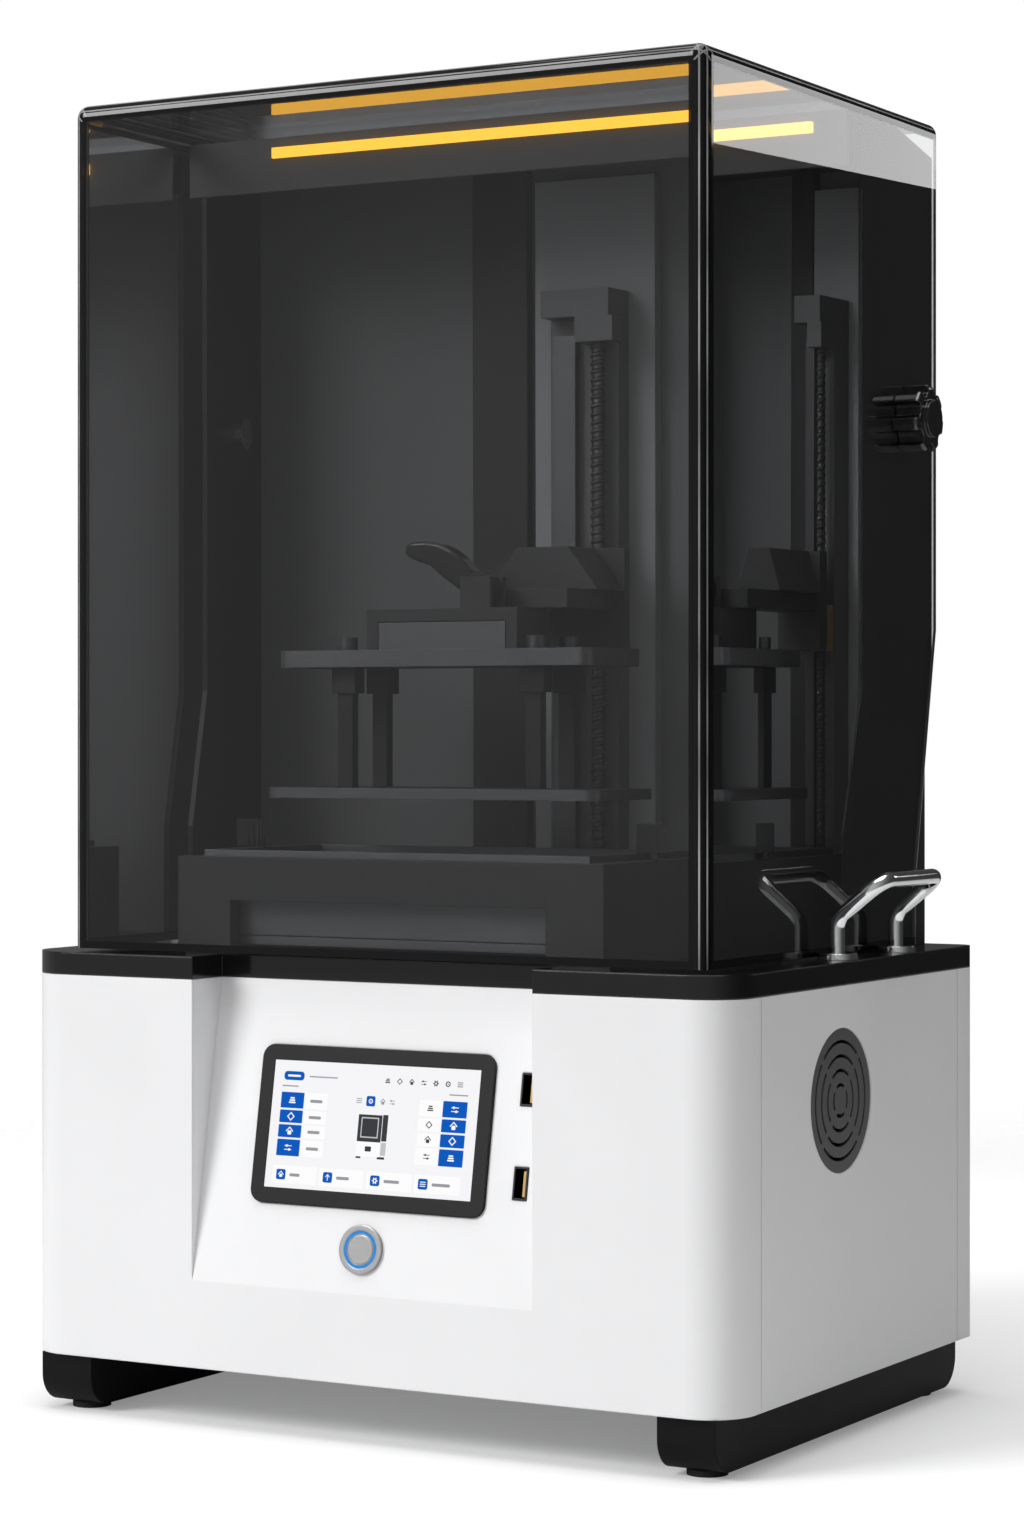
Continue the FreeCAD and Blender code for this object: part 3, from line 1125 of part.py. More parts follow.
# Mains inlet and rocker switch in the rear cover
REAR = HALF_DEPTH
INLET_X = mid("inlet_offset", "inlet_width")
INLET_Z = mid("inlet_height", "inlet_rise")
inlet_y = (f"{REAR} - inlet_depth", REAR)
inlet_hollow = box("inlet_hollow", widened(INLET_X, "-inlet_wall"),
                   (f"{REAR} - inlet_depth + inlet_wall", f"{REAR} + {MARGIN}"),
                   widened(INLET_Z, "-inlet_wall"))
SWITCH_X = mid(SWITCH_CENTRE, "switch_width")
SWITCH_Z = mid("inlet_height", "switch_rise")
ROCKER_SPACE_X = widened(SWITCH_X, "-inlet_wall")
ROCKER_SPACE_Z = widened(SWITCH_Z, "-inlet_wall")
ROCKER_Y = f"({REAR} - switch_pivot)"
switch_hollow = box("switch_hollow", ROCKER_SPACE_X,
                    (f"{REAR} - inlet_depth + inlet_wall", f"{REAR} + {MARGIN}"), ROCKER_SPACE_Z)
inlet_block = join("inlet_blank", box("inlet_block", INLET_X, inlet_y, INLET_Z),
                   box("switch_block", SWITCH_X, inlet_y, SWITCH_Z))
rocker_pin = rod("rocker_pin", "X", (ROCKER_Y, "inlet_height"), "rocker_pin", SWITCH_X)
node("mains_inlet",
     join("mains_inlet", cut("inlet_shell", inlet_block, inlet_hollow, switch_hollow), rocker_pin))
rocker_x = widened(ROCKER_SPACE_X, "-rocker_gap")
rocker_z = widened(ROCKER_SPACE_Z, "-2 * rocker_gap")
rocker = prism("rocker_blank", "YZ_Plane",
               [(f"{REAR} - switch_pivot - 2 * rocker_pin", rocker_z[0]),
                (f"{REAR} - rocker_sink", rocker_z[0]),
                (f"{REAR} - 3 * rocker_sink", "inlet_height"), (f"{REAR} - rocker_sink", rocker_z[1]),
                (f"{REAR} - switch_pivot - 2 * rocker_pin", rocker_z[1])],
               rocker_x[0], f"({rocker_x[1]}) - ({rocker_x[0]})")
rocker_bore = rod("rocker_bore", "X", (ROCKER_Y, "inlet_height"), "rocker_pin + running_gap",
                  widened(SWITCH_X, MARGIN))
node("mains_rocker", cut("mains_rocker", rocker, rocker_bore))

doc.recompute()
for item in doc.Objects:
    if "Invalid" in item.State or "Error" in item.State:
        raise RuntimeError(f"{item.Name} ({item.Label}) failed: {item.State}")
os.makedirs("parts", exist_ok=True)
for name, item in NODES.items():
    shape = item.Shape
    if shape.isNull() or not shape.isValid() or not shape.Solids:
        raise RuntimeError(f"{name} has no valid solid")
for name, item in NODES.items():
    item.Shape.exportStep(f"parts/{name}.step")
whole = FreeCAD.BoundBox()
for item in NODES.values():
    whole.add(item.Shape.BoundBox)
print(len(NODES), "sub-parts, box", whole)
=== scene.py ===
"""Studio scene of a desktop resin printer with a tinted flip-up hood.

Metres, +Z up, the front faces -Y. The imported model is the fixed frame: its pieces get their finishes
here, and the screen's page, the lead screw's thread and the lever's paddle are modelled on top of it.
"""
from __future__ import annotations

import logging
import math
from dataclasses import dataclass
from enum import Enum
from typing import Any

import bmesh
import bpy
from mathutils import Matrix, Vector

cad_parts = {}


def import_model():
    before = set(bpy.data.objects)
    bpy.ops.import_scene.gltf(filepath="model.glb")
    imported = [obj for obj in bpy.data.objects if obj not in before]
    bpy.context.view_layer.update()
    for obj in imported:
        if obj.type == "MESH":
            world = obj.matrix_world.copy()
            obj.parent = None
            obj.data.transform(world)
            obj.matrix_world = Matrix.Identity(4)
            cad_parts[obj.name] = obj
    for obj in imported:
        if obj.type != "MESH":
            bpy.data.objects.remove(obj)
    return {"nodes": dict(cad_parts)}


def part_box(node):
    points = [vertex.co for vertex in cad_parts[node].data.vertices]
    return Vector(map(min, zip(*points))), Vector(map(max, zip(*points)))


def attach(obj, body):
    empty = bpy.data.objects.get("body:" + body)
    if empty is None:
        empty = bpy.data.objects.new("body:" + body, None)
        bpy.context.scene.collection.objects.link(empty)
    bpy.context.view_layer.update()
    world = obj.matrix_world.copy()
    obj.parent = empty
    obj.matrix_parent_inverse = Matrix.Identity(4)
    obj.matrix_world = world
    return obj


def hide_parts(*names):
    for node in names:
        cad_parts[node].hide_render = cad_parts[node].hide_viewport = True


LOG = logging.getLogger("resin_printer")
MM = 0.001
NOISE_MEAN = 0.5
Pair = tuple[float, float]
Triple = tuple[float, float, float]
Colour = Triple
WHITE: Colour = (1.0, 1.0, 1.0)


def opaque(colour: Colour, factor: float = 1.0) -> tuple[float, ...]:
    """Gives a colour with full alpha, made darker or lighter by a factor."""
    return (*(min(part * factor, 1.0) for part in colour), 1.0)


class Wire:
    """A shader socket that takes part in plain arithmetic."""

    def __init__(self, recipe: Recipe, socket: bpy.types.NodeSocket) -> None:
        """Keeps the recipe that adds nodes and the socket that is wrapped."""
        self.recipe = recipe
        self.socket = socket

    def other(self, name: str) -> Wire:
        """Gives another output of the same node."""
        return Wire(self.recipe, self.socket.node.outputs[name])

    def _math(self, operation: str, *values: Value) -> Wire:
        """Adds one Math node over the values."""
        return self.recipe.add("ShaderNodeMath", {"operation": operation}, dict(enumerate(values)))

    def __add__(self, right: Value) -> Wire:
        """Adds."""
        return self._math("ADD", self, right)

    def __radd__(self, left: Value) -> Wire:
        """Adds, reflected."""
        return self._math("ADD", left, self)

    def __sub__(self, right: Value) -> Wire:
        """Subtracts."""
        return self._math("SUBTRACT", self, right)

    def __rsub__(self, left: Value) -> Wire:
        """Subtracts, reflected."""
        return self._math("SUBTRACT", left, self)

    def __mul__(self, right: Value) -> Wire:
        """Multiplies."""
        return self._math("MULTIPLY", self, right)

    def __rmul__(self, left: Value) -> Wire:
        """Multiplies, reflected."""
        return self._math("MULTIPLY", left, self)

    def __gt__(self, right: Value) -> Wire:
        """Gives 1 where this is greater."""
        return self._math("GREATER_THAN", self, right)

    def __lt__(self, right: Value) -> Wire:
        """Gives 1 where this is less."""
        return self._math("LESS_THAN", self, right)

    def __abs__(self) -> Wire:
        """Drops the sign."""
        return self._math("ABSOLUTE", self)

    def __or__(self, right: Value) -> Wire:
        """Gives the larger of two values."""
        return self._math("MAXIMUM", self, right)

    def __and__(self, right: Value) -> Wire:
        """Gives the smaller of two values."""
        return self._math("MINIMUM", self, right)

    __ror__ = __or__
    __rand__ = __and__


Value = Wire | float | tuple


def sway(noise: Wire, amount: float) -> Wire:
    """Swings by an amount about nought as a noise goes from 0 to 1."""
    return (noise - NOISE_MEAN) * amount


class Detail(Enum):
    """How fine a noise is, as its octaves."""

    PLAIN = 1.0
    FINE = 2.0
    CLOUDY = 3.0
    CRISP = 4.0


class Recipe:
    """The node tree of one material or world."""

    BEVEL_SAMPLES = 4

    def __init__(self, owner: bpy.types.Material | bpy.types.World) -> None:
        """Empties the owner's tree and starts anew.

        Args:
            owner: The material or world.
        """
        owner.use_nodes = True
        self.tree = owner.node_tree
        self.tree.nodes.clear()

    def add(self, kind: str, settings: dict[str, Any] | None = None,
            inputs: dict[str | int, Value] | None = None, output: str | int = 0) -> Wire:
        """Adds a node.

        Args:
            kind: The node's type.
            settings: Properties that are set first.
            inputs: Values or links by socket name or number.
            output: The output that is returned.

        Returns:
            The output as a Wire.
        """
        node = self.tree.nodes.new(kind)
        for name, value in (settings or {}).items():
            setattr(node, name, value)
        for key, value in (inputs or {}).items():
            if isinstance(value, Wire):
                self.tree.links.new(value.socket, node.inputs[key])
            else:
                node.inputs[key].default_value = value
        return Wire(self, node.outputs[output])

    def finish(self, shader: Wire, kind: str = "ShaderNodeOutputMaterial") -> None:
        """Links a shader to the output node."""
        output = self.tree.nodes.new(kind)
        self.tree.links.new(shader.socket, output.inputs["Surface"])

    def object_place(self) -> Wire:
        """Gives object coordinates."""
        return self.add("ShaderNodeTexCoord", output="Object")

    def place(self, scale: Triple = (1.0, 1.0, 1.0)) -> Wire:
        """Gives object coordinates, stretched along the axes."""
        return self.add("ShaderNodeMapping", inputs={"Vector": self.object_place(), "Scale": scale})

    def noise(self, where: Wire, size: float, detail: Detail = Detail.CLOUDY) -> Wire:
        """Adds fractal noise.

        Args:
            where: Coordinates.
            size: The width of a patch in metres.
            detail: How fine it is.

        Returns:
            The noise, from 0 to 1.
        """
        inputs = {"Vector": where, "Scale": 1.0 / size, "Detail": detail.value}
        return self.add("ShaderNodeTexNoise", inputs=inputs)

    def ease(self, value: Wire, reach: Pair, levels: Pair = (0.0, 1.0)) -> Wire:
        """Eases from one level to another as a value grows.

        Args:
            value: The value that is followed.
            reach: Where the change starts and ends.
            levels: The results before and after it.

        Returns:
            The eased result.
        """
        inputs = {"Value": value, "From Min": reach[0], "From Max": reach[1],
                  "To Min": levels[0], "To Max": levels[1]}
        return self.add("ShaderNodeMapRange", {"interpolation_type": "SMOOTHSTEP"}, inputs)

    def blend(self, factor: Value, first: Value, second: Value) -> Wire:
        """Mixes two colours."""
        settings = {"data_type": "RGBA"}
        return self.add("ShaderNodeMix", settings, {"Factor": factor, 6: first, 7: second}, output=2)

    def cover(self, share: Value, under: Wire, over: Wire) -> Wire:
        """Lays one shader over a share of another."""
        return self.add("ShaderNodeMixShader", inputs={0: share, 1: under, 2: over})

    def clear(self, tint: Colour = WHITE) -> Wire:
        """Gives a shader that lets the view straight through."""
        return self.add("ShaderNodeBsdfTransparent", inputs={"Color": opaque(tint)})

    def matt(self, colour: Colour) -> Wire:
        """Gives a plain diffuse shader."""
        return self.add("ShaderNodeBsdfDiffuse", inputs={"Color": opaque(colour)})

    def mirror(self) -> Wire:
        """Gives a perfect mirror."""
        return self.add("ShaderNodeBsdfAnisotropic", inputs={"Color": opaque(WHITE), "Roughness": 0.0})

    def glance(self, bend: float) -> Wire:
        """Gives the share of light that a smooth face mirrors."""
        return self.add("ShaderNodeFresnel", inputs={"IOR": bend})

    def glow(self, strength: Value) -> Wire:
        """Gives a white light of its own."""
        return self.add("ShaderNodeEmission", inputs={"Color": opaque(WHITE), "Strength": strength})

    def soft_edge(self, radius: float) -> Wire:
        """Rounds the shading at hard edges."""
        return self.add("ShaderNodeBevel", {"samples": self.BEVEL_SAMPLES}, {"Radius": radius})

    def bump(self, height: Wire, depth: float, normal: Wire | None = None) -> Wire:
        """Adds a bump.

        Args:
            height: Height from 0 to 1.
            depth: Metres from valley to peak.
            normal: The normal that is bent, if it isn't the plain one.

        Returns:
            The bent normal.
        """
        inputs: dict[str | int, Value] = {"Height": height, "Distance": depth, "Strength": 1.0}
        if normal is not None:
            inputs["Normal"] = normal
        return self.add("ShaderNodeBump", inputs=inputs)


@dataclass(frozen=True)
class Finish:
    """A named surface finish."""

    name: str

    def make(self) -> bpy.types.Material:
        """Builds the material.

        Returns:
            The material.
        """
        material = bpy.data.materials.new(self.name)
        recipe = Recipe(material)
        recipe.finish(self.shade(recipe))
        return material

    def shade(self, recipe: Recipe) -> Wire:
        """Gives the shader; each kind of finish has its own."""
        raise NotImplementedError


@dataclass(frozen=True)
class Coating(Finish):
    """Paint or moulded plastic: one colour with faint clouds and a fine grain."""

    colour: Colour
    roughness: float = 0.42
    grain: float = 0.7 * MM
    depth: float = 0.012 * MM
    clouds: float = 0.03
    edge: float = 0.8 * MM
    gloss: float = 0.5
    cloud_size: float = 70 * MM
    cloud_sway: float = 0.1

    def shade(self, recipe: Recipe) -> Wire:
        """Gives a Principled shader with a grainy normal and softened edges.

        Args:
            recipe: The material's node tree.

        Returns:
            The shader.
        """
        where = recipe.place()
        patch = recipe.noise(where, self.cloud_size)
        grain = recipe.noise(where, self.grain, Detail.FINE)
        dark = opaque(self.colour, 1 - self.clouds)
        light = opaque(self.colour, 1 + self.clouds)
        inputs = {
            "Base Color": recipe.blend(patch, dark, light),
            "Roughness": self.roughness + sway(patch, self.cloud_sway),
            "Specular IOR Level": self.gloss,
            "Normal": recipe.bump(grain, self.depth, recipe.soft_edge(self.edge)),
        }
        return recipe.add("ShaderNodeBsdfPrincipled", inputs=inputs)


class Stroke(Enum):
    """The direction in which a metal is brushed or ground, as factors on the coordinates."""

    NONE = (1.0, 1.0, 1.0)
    ACROSS = (0.03, 1.0, 1.0)
    UPRIGHT = (1.0, 1.0, 0.03)


@dataclass(frozen=True)
class BareMetal(Finish):
    """Metal that is brushed, ground, blasted, blackened or plated."""

    colour: Colour
    roughness: float = 0.3
    stroke: Stroke = Stroke.NONE
    grain: float = 0.5 * MM
    depth: float = 0.006 * MM
    edge: float = 0.5 * MM
    shades: Pair = (0.9, 1.08)
    grain_sway: float = 0.1
    smear_size: float = 45 * MM
    smear_sway: float = 0.12

    def shade(self, recipe: Recipe) -> Wire:
        """Gives a metallic shader whose grain runs along the stroke.

        Args:
            recipe: The material's node tree.

        Returns:
            The shader.
        """
        grain = recipe.noise(recipe.place(self.stroke.value), self.grain, Detail.CRISP)
        smear = recipe.noise(recipe.place(), self.smear_size)
        dark, light = (opaque(self.colour, factor) for factor in self.shades)
        inputs = {
            "Base Color": recipe.blend(grain, dark, light),
            "Metallic": 1.0,
            "Roughness": self.roughness + sway(smear, self.smear_sway) + sway(grain, self.grain_sway),
            "Normal": recipe.bump(grain, self.depth, recipe.soft_edge(self.edge)),
        }
        return recipe.add("ShaderNodeBsdfPrincipled", inputs=inputs)


@dataclass(frozen=True)
class Glow(Finish):
    """A lit diffuser or screen ink, faintly mottled."""

    colour: Colour
    strength: float = 1.0
    cell: float = 0.6 * MM
    ripple: float = 0.06
    base: Colour = (0.002, 0.002, 0.002)
    roughness: float = 0.5
    gloss: float = 0.02

    def shade(self, recipe: Recipe) -> Wire:
        """Gives an emitting shader with a slight ripple.

        Args:
            recipe: The material's node tree.

        Returns:
            The shader.
        """
        ripple = recipe.noise(recipe.place(), self.cell, Detail.PLAIN)
        dim = opaque(self.colour, 1 - self.ripple)
        inputs = {
            "Base Color": opaque(self.base),
            "Roughness": self.roughness,
            "Specular IOR Level": self.gloss,
            "Emission Color": recipe.blend(ripple, dim, opaque(self.colour)),
            "Emission Strength": self.strength,
        }
        return recipe.add("ShaderNodeBsdfPrincipled", inputs=inputs)


@dataclass(frozen=True)
class ClearSheet(Finish):
    """A thin clear sheet: see-through, with a glossy face."""

    tint: Colour
    bend: float = 1.45
    roughness: float = 0.04
    smear: float = 0.04
    smear_size: float = 30 * MM

    def shade(self, recipe: Recipe) -> Wire:
        """Mixes tinted clearness with a smeared gloss by the angle of view.

        Args:
            recipe: The material's node tree.

        Returns:
            The shader.
        """
        smear = recipe.noise(recipe.place(), self.smear_size)
        inputs = {"Roughness": self.roughness + smear * self.smear}
        gloss = recipe.add("ShaderNodeBsdfAnisotropic", inputs=inputs)
        return recipe.cover(recipe.glance(self.bend), recipe.clear(self.tint), gloss)


@dataclass(frozen=True)
class TintedAcrylic(Finish):
    """Thick smoke-tinted acrylic.

    Outer faces bend, tint and mirror the view. Inner faces are clear, apart from the ceiling, which
    mirrors. Edges are dark, with thin pale lines painted on them as highlights; the rear cut is pale.
    """

    tint: Colour
    low: Vector
    high: Vector
    heel_rear: float
    heel: float
    waist: float
    skin: float = 3 * MM
    edge: float = 8 * MM
    wall: float = 4 * MM
    rim: float = 3.5 * MM
    # Where the painted highlight lines lie beside each seam, and how wide they are.
    highlight_offset: float = 2.6 * MM
    highlight_width: float = 0.55 * MM
    cut: float = 0.3 * MM
    bend: float = 1.49
    edge_black: Colour = (0.002, 0.002, 0.0022)
    edge_roughness: float = 0.04
    edge_gloss: float = 0.3
    edge_cover: float = 0.96
    # Pale grey of the rear cut; the same matt grey paints the highlight lines on the edges.
    cut_and_highlight_grey: Colour = (0.55, 0.55, 0.56)
    # Size of the noise that makes the painted highlights stronger and weaker along the edges.
    highlight_shimmer_size: float = 45 * MM
    haze_grey: Colour = (0.5, 0.5, 0.52)
    haze: float = 0.002
    haze_smear: float = 0.006
    smear_size: float = 80 * MM

    def shade(self, recipe: Recipe) -> Wire:
        """Tells outer and inner faces, edges and rear cut apart by place, and paints highlight lines on the
        edges.

        Args:
            recipe: The material's node tree.

        Returns:
            The shader.
        """
        where = recipe.object_place()
        across = recipe.add("ShaderNodeSeparateXYZ", inputs={0: where}, output="X")
        depth = across.other("Y")
        height = across.other("Z")
        inward = self.high.x - abs(across)
        backward = depth - self.low.y
        downward = self.high.z - height
        # Each seam gives a dark band, and in it two thin lines where a highlight is painted.
        upright, upright_highlight = self._seam(inward, backward)
        long, long_highlight = self._seam(inward, downward)
        short, short_highlight = self._seam(backward, downward)
        edges = upright | long | short | (height < self.low.z + self.rim)
        painted_highlights = upright_highlight | long_highlight | short_highlight
        outside = (inward < self.skin) | (backward < self.skin) | (downward < self.skin)
        ceiling = (downward > self.skin) * (downward < self.wall + self.skin / 2)
        slope = (self.high.y - self.heel_rear) / (self.waist - self.heel)
        rear = ((self.heel_rear + (height - self.heel) * slope) | self.heel_rear) & self.high.y
        inside = recipe.cover(ceiling * recipe.glance(self.bend), recipe.clear(), recipe.mirror())
        faces = recipe.cover(outside, inside, self._skin(recipe))
        bound = recipe.cover(edges * self.edge_cover, faces, self._edge(recipe))
        # Painted highlights: the pale matt grey laid over thin lines on the edges, fading in and out by a
        # noise.
        highlight_shimmer = recipe.noise(where, self.highlight_shimmer_size, Detail.PLAIN)
        pale = recipe.matt(self.cut_and_highlight_grey)
        with_painted_highlights = recipe.cover(painted_highlights * highlight_shimmer, bound, pale)
        return recipe.cover(depth > rear - self.cut, with_painted_highlights, pale)

    def _seam(self, first: Wire, second: Wire) -> tuple[Wire, Wire]:
        """Finds the band where two outer faces meet.

        Args:
            first: Distance in from one face.
            second: Distance in from the other face.

        Returns:
            The band and the two painted highlight lines in it, as masks.
        """
        band = (first < self.edge) * (second < self.edge)
        aside = abs(abs(first - second) - self.highlight_offset)
        return band, band * (aside < self.highlight_width)

    def _edge(self, recipe: Recipe) -> Wire:
        """Gives the dark gloss of an edge.

        Args:
            recipe: The material's node tree.

        Returns:
            The shader.
        """
        inputs = {
            "Base Color": opaque(self.edge_black),
            "Roughness": self.edge_roughness,
            "Specular IOR Level": self.edge_gloss,
        }
        return recipe.add("ShaderNodeBsdfPrincipled", inputs=inputs)

    def _skin(self, recipe: Recipe) -> Wire:
        """Gives the outer faces: a tinted bend, a mirror and a breath of haze, and a tinted shadow.

        Args:
            recipe: The material's node tree.

        Returns:
            The shader.
        """
        inputs = {"Color": opaque(self.tint), "IOR": self.bend, "Roughness": 0.0}
        bent = recipe.add("ShaderNodeBsdfRefraction", inputs=inputs)
        glass = recipe.cover(recipe.glance(self.bend), bent, recipe.mirror())
        smear = recipe.noise(recipe.place(), self.smear_size)
        hazed = recipe.cover(self.haze + smear * self.haze_smear, glass, recipe.matt(self.haze_grey))
        shadow = recipe.add("ShaderNodeLightPath", output="Is Shadow Ray")
        return recipe.cover(shadow, hazed, recipe.clear(self.tint))


@dataclass(frozen=True)
class CircuitBoard(Finish):
    """A green board with a net of tracks."""

    masks: tuple[Colour, Colour] = ((0.02, 0.16, 0.07), (0.03, 0.2, 0.09))
    track: Colour = (0.4, 0.34, 0.14)
    net_scale: float = 90.0
    track_width: float = 0.012
    roughness: float = 0.35
    roughness_rise: float = 0.15
    relief_size: float = 2 * MM
    relief_depth: float = 0.02 * MM

    def shade(self, recipe: Recipe) -> Wire:
        """Gives solder mask in the cells of a brick pattern, with tracks between them.

        Args:
            recipe: The material's node tree.

        Returns:
            The shader.
        """
        where = recipe.place()
        first, second = (opaque(mask) for mask in self.masks)
        net = {"Vector": where, "Scale": self.net_scale, "Mortar Size": self.track_width,
               "Color1": first, "Color2": second, "Mortar": opaque(self.track)}
        relief = recipe.noise(where, self.relief_size)
        inputs = {
            "Base Color": recipe.add("ShaderNodeTexBrick", inputs=net),
            "Roughness": self.roughness + relief * self.roughness_rise,
            "Normal": recipe.bump(relief, self.relief_depth),
        }
        return recipe.add("ShaderNodeBsdfPrincipled", inputs=inputs)


class Shape:
    """A mesh in the making, drawn in a frame of its own."""

    CORNER_STEPS = 4
    SOFT_STEPS = 3
    STROKE_ROUNDING = 0.45
    TINY = 1e-9

    def __init__(self, frame: Matrix | None = None) -> None:
        """Starts an empty mesh in a frame."""
        self.mesh = bmesh.new()
        self.frame = frame or Matrix.Identity(4)

    def plate(self, centre: Pair, size: Pair, levels: Pair, corner: float = 0.0, turn: float = 0.0) -> None:
        """Adds a flat plate with round corners.

        Args:
            centre: Its middle in the frame's plane.
            size: Width and height.
            levels: Lower and upper face.
            corner: Corner radius.
            turn: Turn about its middle, in radians.
        """
        made = bmesh.ops.create_cube(self.mesh, size=1.0)["verts"]
        low, high = levels
        bmesh.ops.scale(self.mesh, vec=(*size, high - low), verts=made)
        if corner > 0:
            upright = {edge for vert in made for edge in vert.link_edges if self._stands(edge)}
            rounded = bmesh.ops.bevel(self.mesh, geom=list(upright), offset=corner, offset_type="OFFSET",
                                      affect="EDGES", segments=self.CORNER_STEPS, profile=0.5, material=-1)
            faces = {face for vert in rounded["verts"] for face in vert.link_faces}
            made = list({vert for face in faces for vert in face.verts})
        spin = Matrix.Rotation(turn, 4, "Z")
        shift = Matrix.Translation((*centre, (low + high) / 2))
        bmesh.ops.transform(self.mesh, matrix=shift @ spin, verts=made)

    def bar(self, start: Pair, end: Pair, width: float, levels: Pair) -> None:
        """Adds a straight stroke between two points.

        Args:
            start: First end.
            end: Second end.
            width: Stroke width.
            levels: Lower and upper face.
        """
        run = Vector(end) - Vector(start)
        middle = (Vector(end) + Vector(start)) / 2
        size = (run.length + width, width)
        self.plate(tuple(middle), size, levels, width * self.STROKE_ROUNDING, math.atan2(run.y, run.x))

    def disc(self, centre: Pair, radius: float, levels: Pair, sides: int = 24) -> None:
        """Adds a round plate.

        Args:
            centre: Its middle.
            radius: Its radius.
            levels: Lower and upper face.
            sides: Number of sides.
        """
        low, high = levels
        place = Matrix.Translation((*centre, (low + high) / 2))
        bmesh.ops.create_cone(self.mesh, cap_ends=True, segments=sides, radius1=radius, radius2=radius,
                              depth=high - low, matrix=place)

    def ring(self, centre: Pair, radii: Pair, levels: Pair, sides: int = 24) -> None:
        """Adds a flat ring.

        Args:
            centre: Its middle.
            radii: Inner and outer radius.
            levels: Lower and upper face.
            sides: Number of sides.
        """
        low, high = levels
        place = Matrix.Translation((*centre, low))
        made = []
        for radius in radii:
            circle = bmesh.ops.create_circle(self.mesh, segments=sides, radius=radius, matrix=place)
            made.extend(circle["verts"])
        rims = list({edge for vert in made for edge in vert.link_edges})
        faces = bmesh.ops.bridge_loops(self.mesh, edges=rims)["faces"]
        self._raise(faces, high - low)

    def outline(self, points: list[Pair], levels: Pair, soft: float) -> None:
        """Adds a solid with a drawn outline and softened edges.

        Args:
            points: Corners in order.
            levels: Lower and upper face.
            soft: Width of the softening.
        """
        low, high = levels
        face = self.mesh.faces.new([self.mesh.verts.new((*point, low)) for point in points])
        lifted = self._raise([face], high - low)
        made = (*lifted, *face.verts)
        rims = {edge for vert in made for edge in vert.link_edges if not self._stands(edge)}
        bmesh.ops.bevel(self.mesh, geom=list(rims), offset=soft, offset_type="OFFSET", affect="EDGES",
                        segments=self.SOFT_STEPS, profile=0.5, material=-1)

    def helix(self, profile: list[Pair], lead: float, turns: int, steps: int) -> None:
        """Winds a profile about the frame's third axis.

        Args:
            profile: Corners as radius and height.
            lead: Rise of one turn.
            turns: Number of turns.
            steps: Steps of one turn.
        """
        corners = [self.mesh.verts.new((radius, 0.0, height)) for radius, height in profile]
        face = self.mesh.faces.new(corners)
        bmesh.ops.spin(self.mesh, geom=[*face.verts, *face.edges, face], cent=(0, 0, 0), axis=(0, 0, 1),
                       dvec=(0, 0, lead / steps), angle=math.tau * turns, steps=steps * turns,
                       use_merge=False)

    def build(self, name: str) -> bpy.types.Object:
        """Closes the mesh and links it as an object.

        Args:
            name: The piece's name.

        Returns:
            The new object, at the origin.
        """
        bmesh.ops.transform(self.mesh, matrix=self.frame, verts=self.mesh.verts)
        bmesh.ops.recalc_face_normals(self.mesh, faces=self.mesh.faces)
        data = bpy.data.meshes.new(name)
        self.mesh.to_mesh(data)
        self.mesh.free()
        piece = bpy.data.objects.new(name, data)
        bpy.context.scene.collection.objects.link(piece)
        return piece

    def _stands(self, edge: bmesh.types.BMEdge) -> bool:
        """Tells whether an edge runs along the frame's third axis."""
        first, second = (vert.co for vert in edge.verts)
        return (first - second).xy.length < self.TINY

    def _raise(self, faces: list[bmesh.types.BMFace], rise: float) -> list[bmesh.types.BMVert]:
        """Extrudes faces along the frame's third axis.

        Args:
            faces: The faces, which stay as the lower side.
            rise: How far the upper side goes.

        Returns:
            The corners of the upper side.
        """
        grown = bmesh.ops.extrude_face_region(self.mesh, geom=faces, use_keep_orig=True)["geom"]
        lifted = [item for item in grown if isinstance(item, bmesh.types.BMVert)]
        bmesh.ops.translate(self.mesh, vec=(0, 0, rise), verts=lifted)
        return lifted


class Bench:
    """The frame on the bench: it keeps the nodes and hands out finishes."""

    def __init__(self) -> None:
        """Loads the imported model."""
        self.nodes: dict[str, bpy.types.Object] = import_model()["nodes"]
        self.made: dict[str, bpy.types.Material] = {}

    def material(self, finish: Finish) -> bpy.types.Material:
        """Gives the material of a finish, built once.

        Args:
            finish: The finish.

        Returns:
            The material.
        """
        if finish.name not in self.made:
            self.made[finish.name] = finish.make()
        return self.made[finish.name]

    def dress(self, finish: Finish, *names: str) -> None:
        """Gives nodes of the frame a finish.

        Args:
            finish: The finish.
            names: The nodes.
        """
        for name in names:
            data = self.nodes[name].data
            data.materials.clear()
            data.materials.append(self.material(finish))
            LOG.info("dressed %s in %s", name, finish.name)

    def add(self, shape: Shape, name: str, finish: Finish, body: str, slot: str) -> bpy.types.Object:
        """Turns a shape into a piece that rides on a body.

        Args:
            shape: The drawn shape.
            name: The piece's name.
            finish: Its finish.
            body: The body that carries it.
            slot: The name of a material slot; not used.

        Returns:
            The piece.
        """
        piece = shape.build(name)
        piece.data.materials.append(self.material(finish))
        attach(piece, body)
        LOG.info("made %s", name)
        return piece


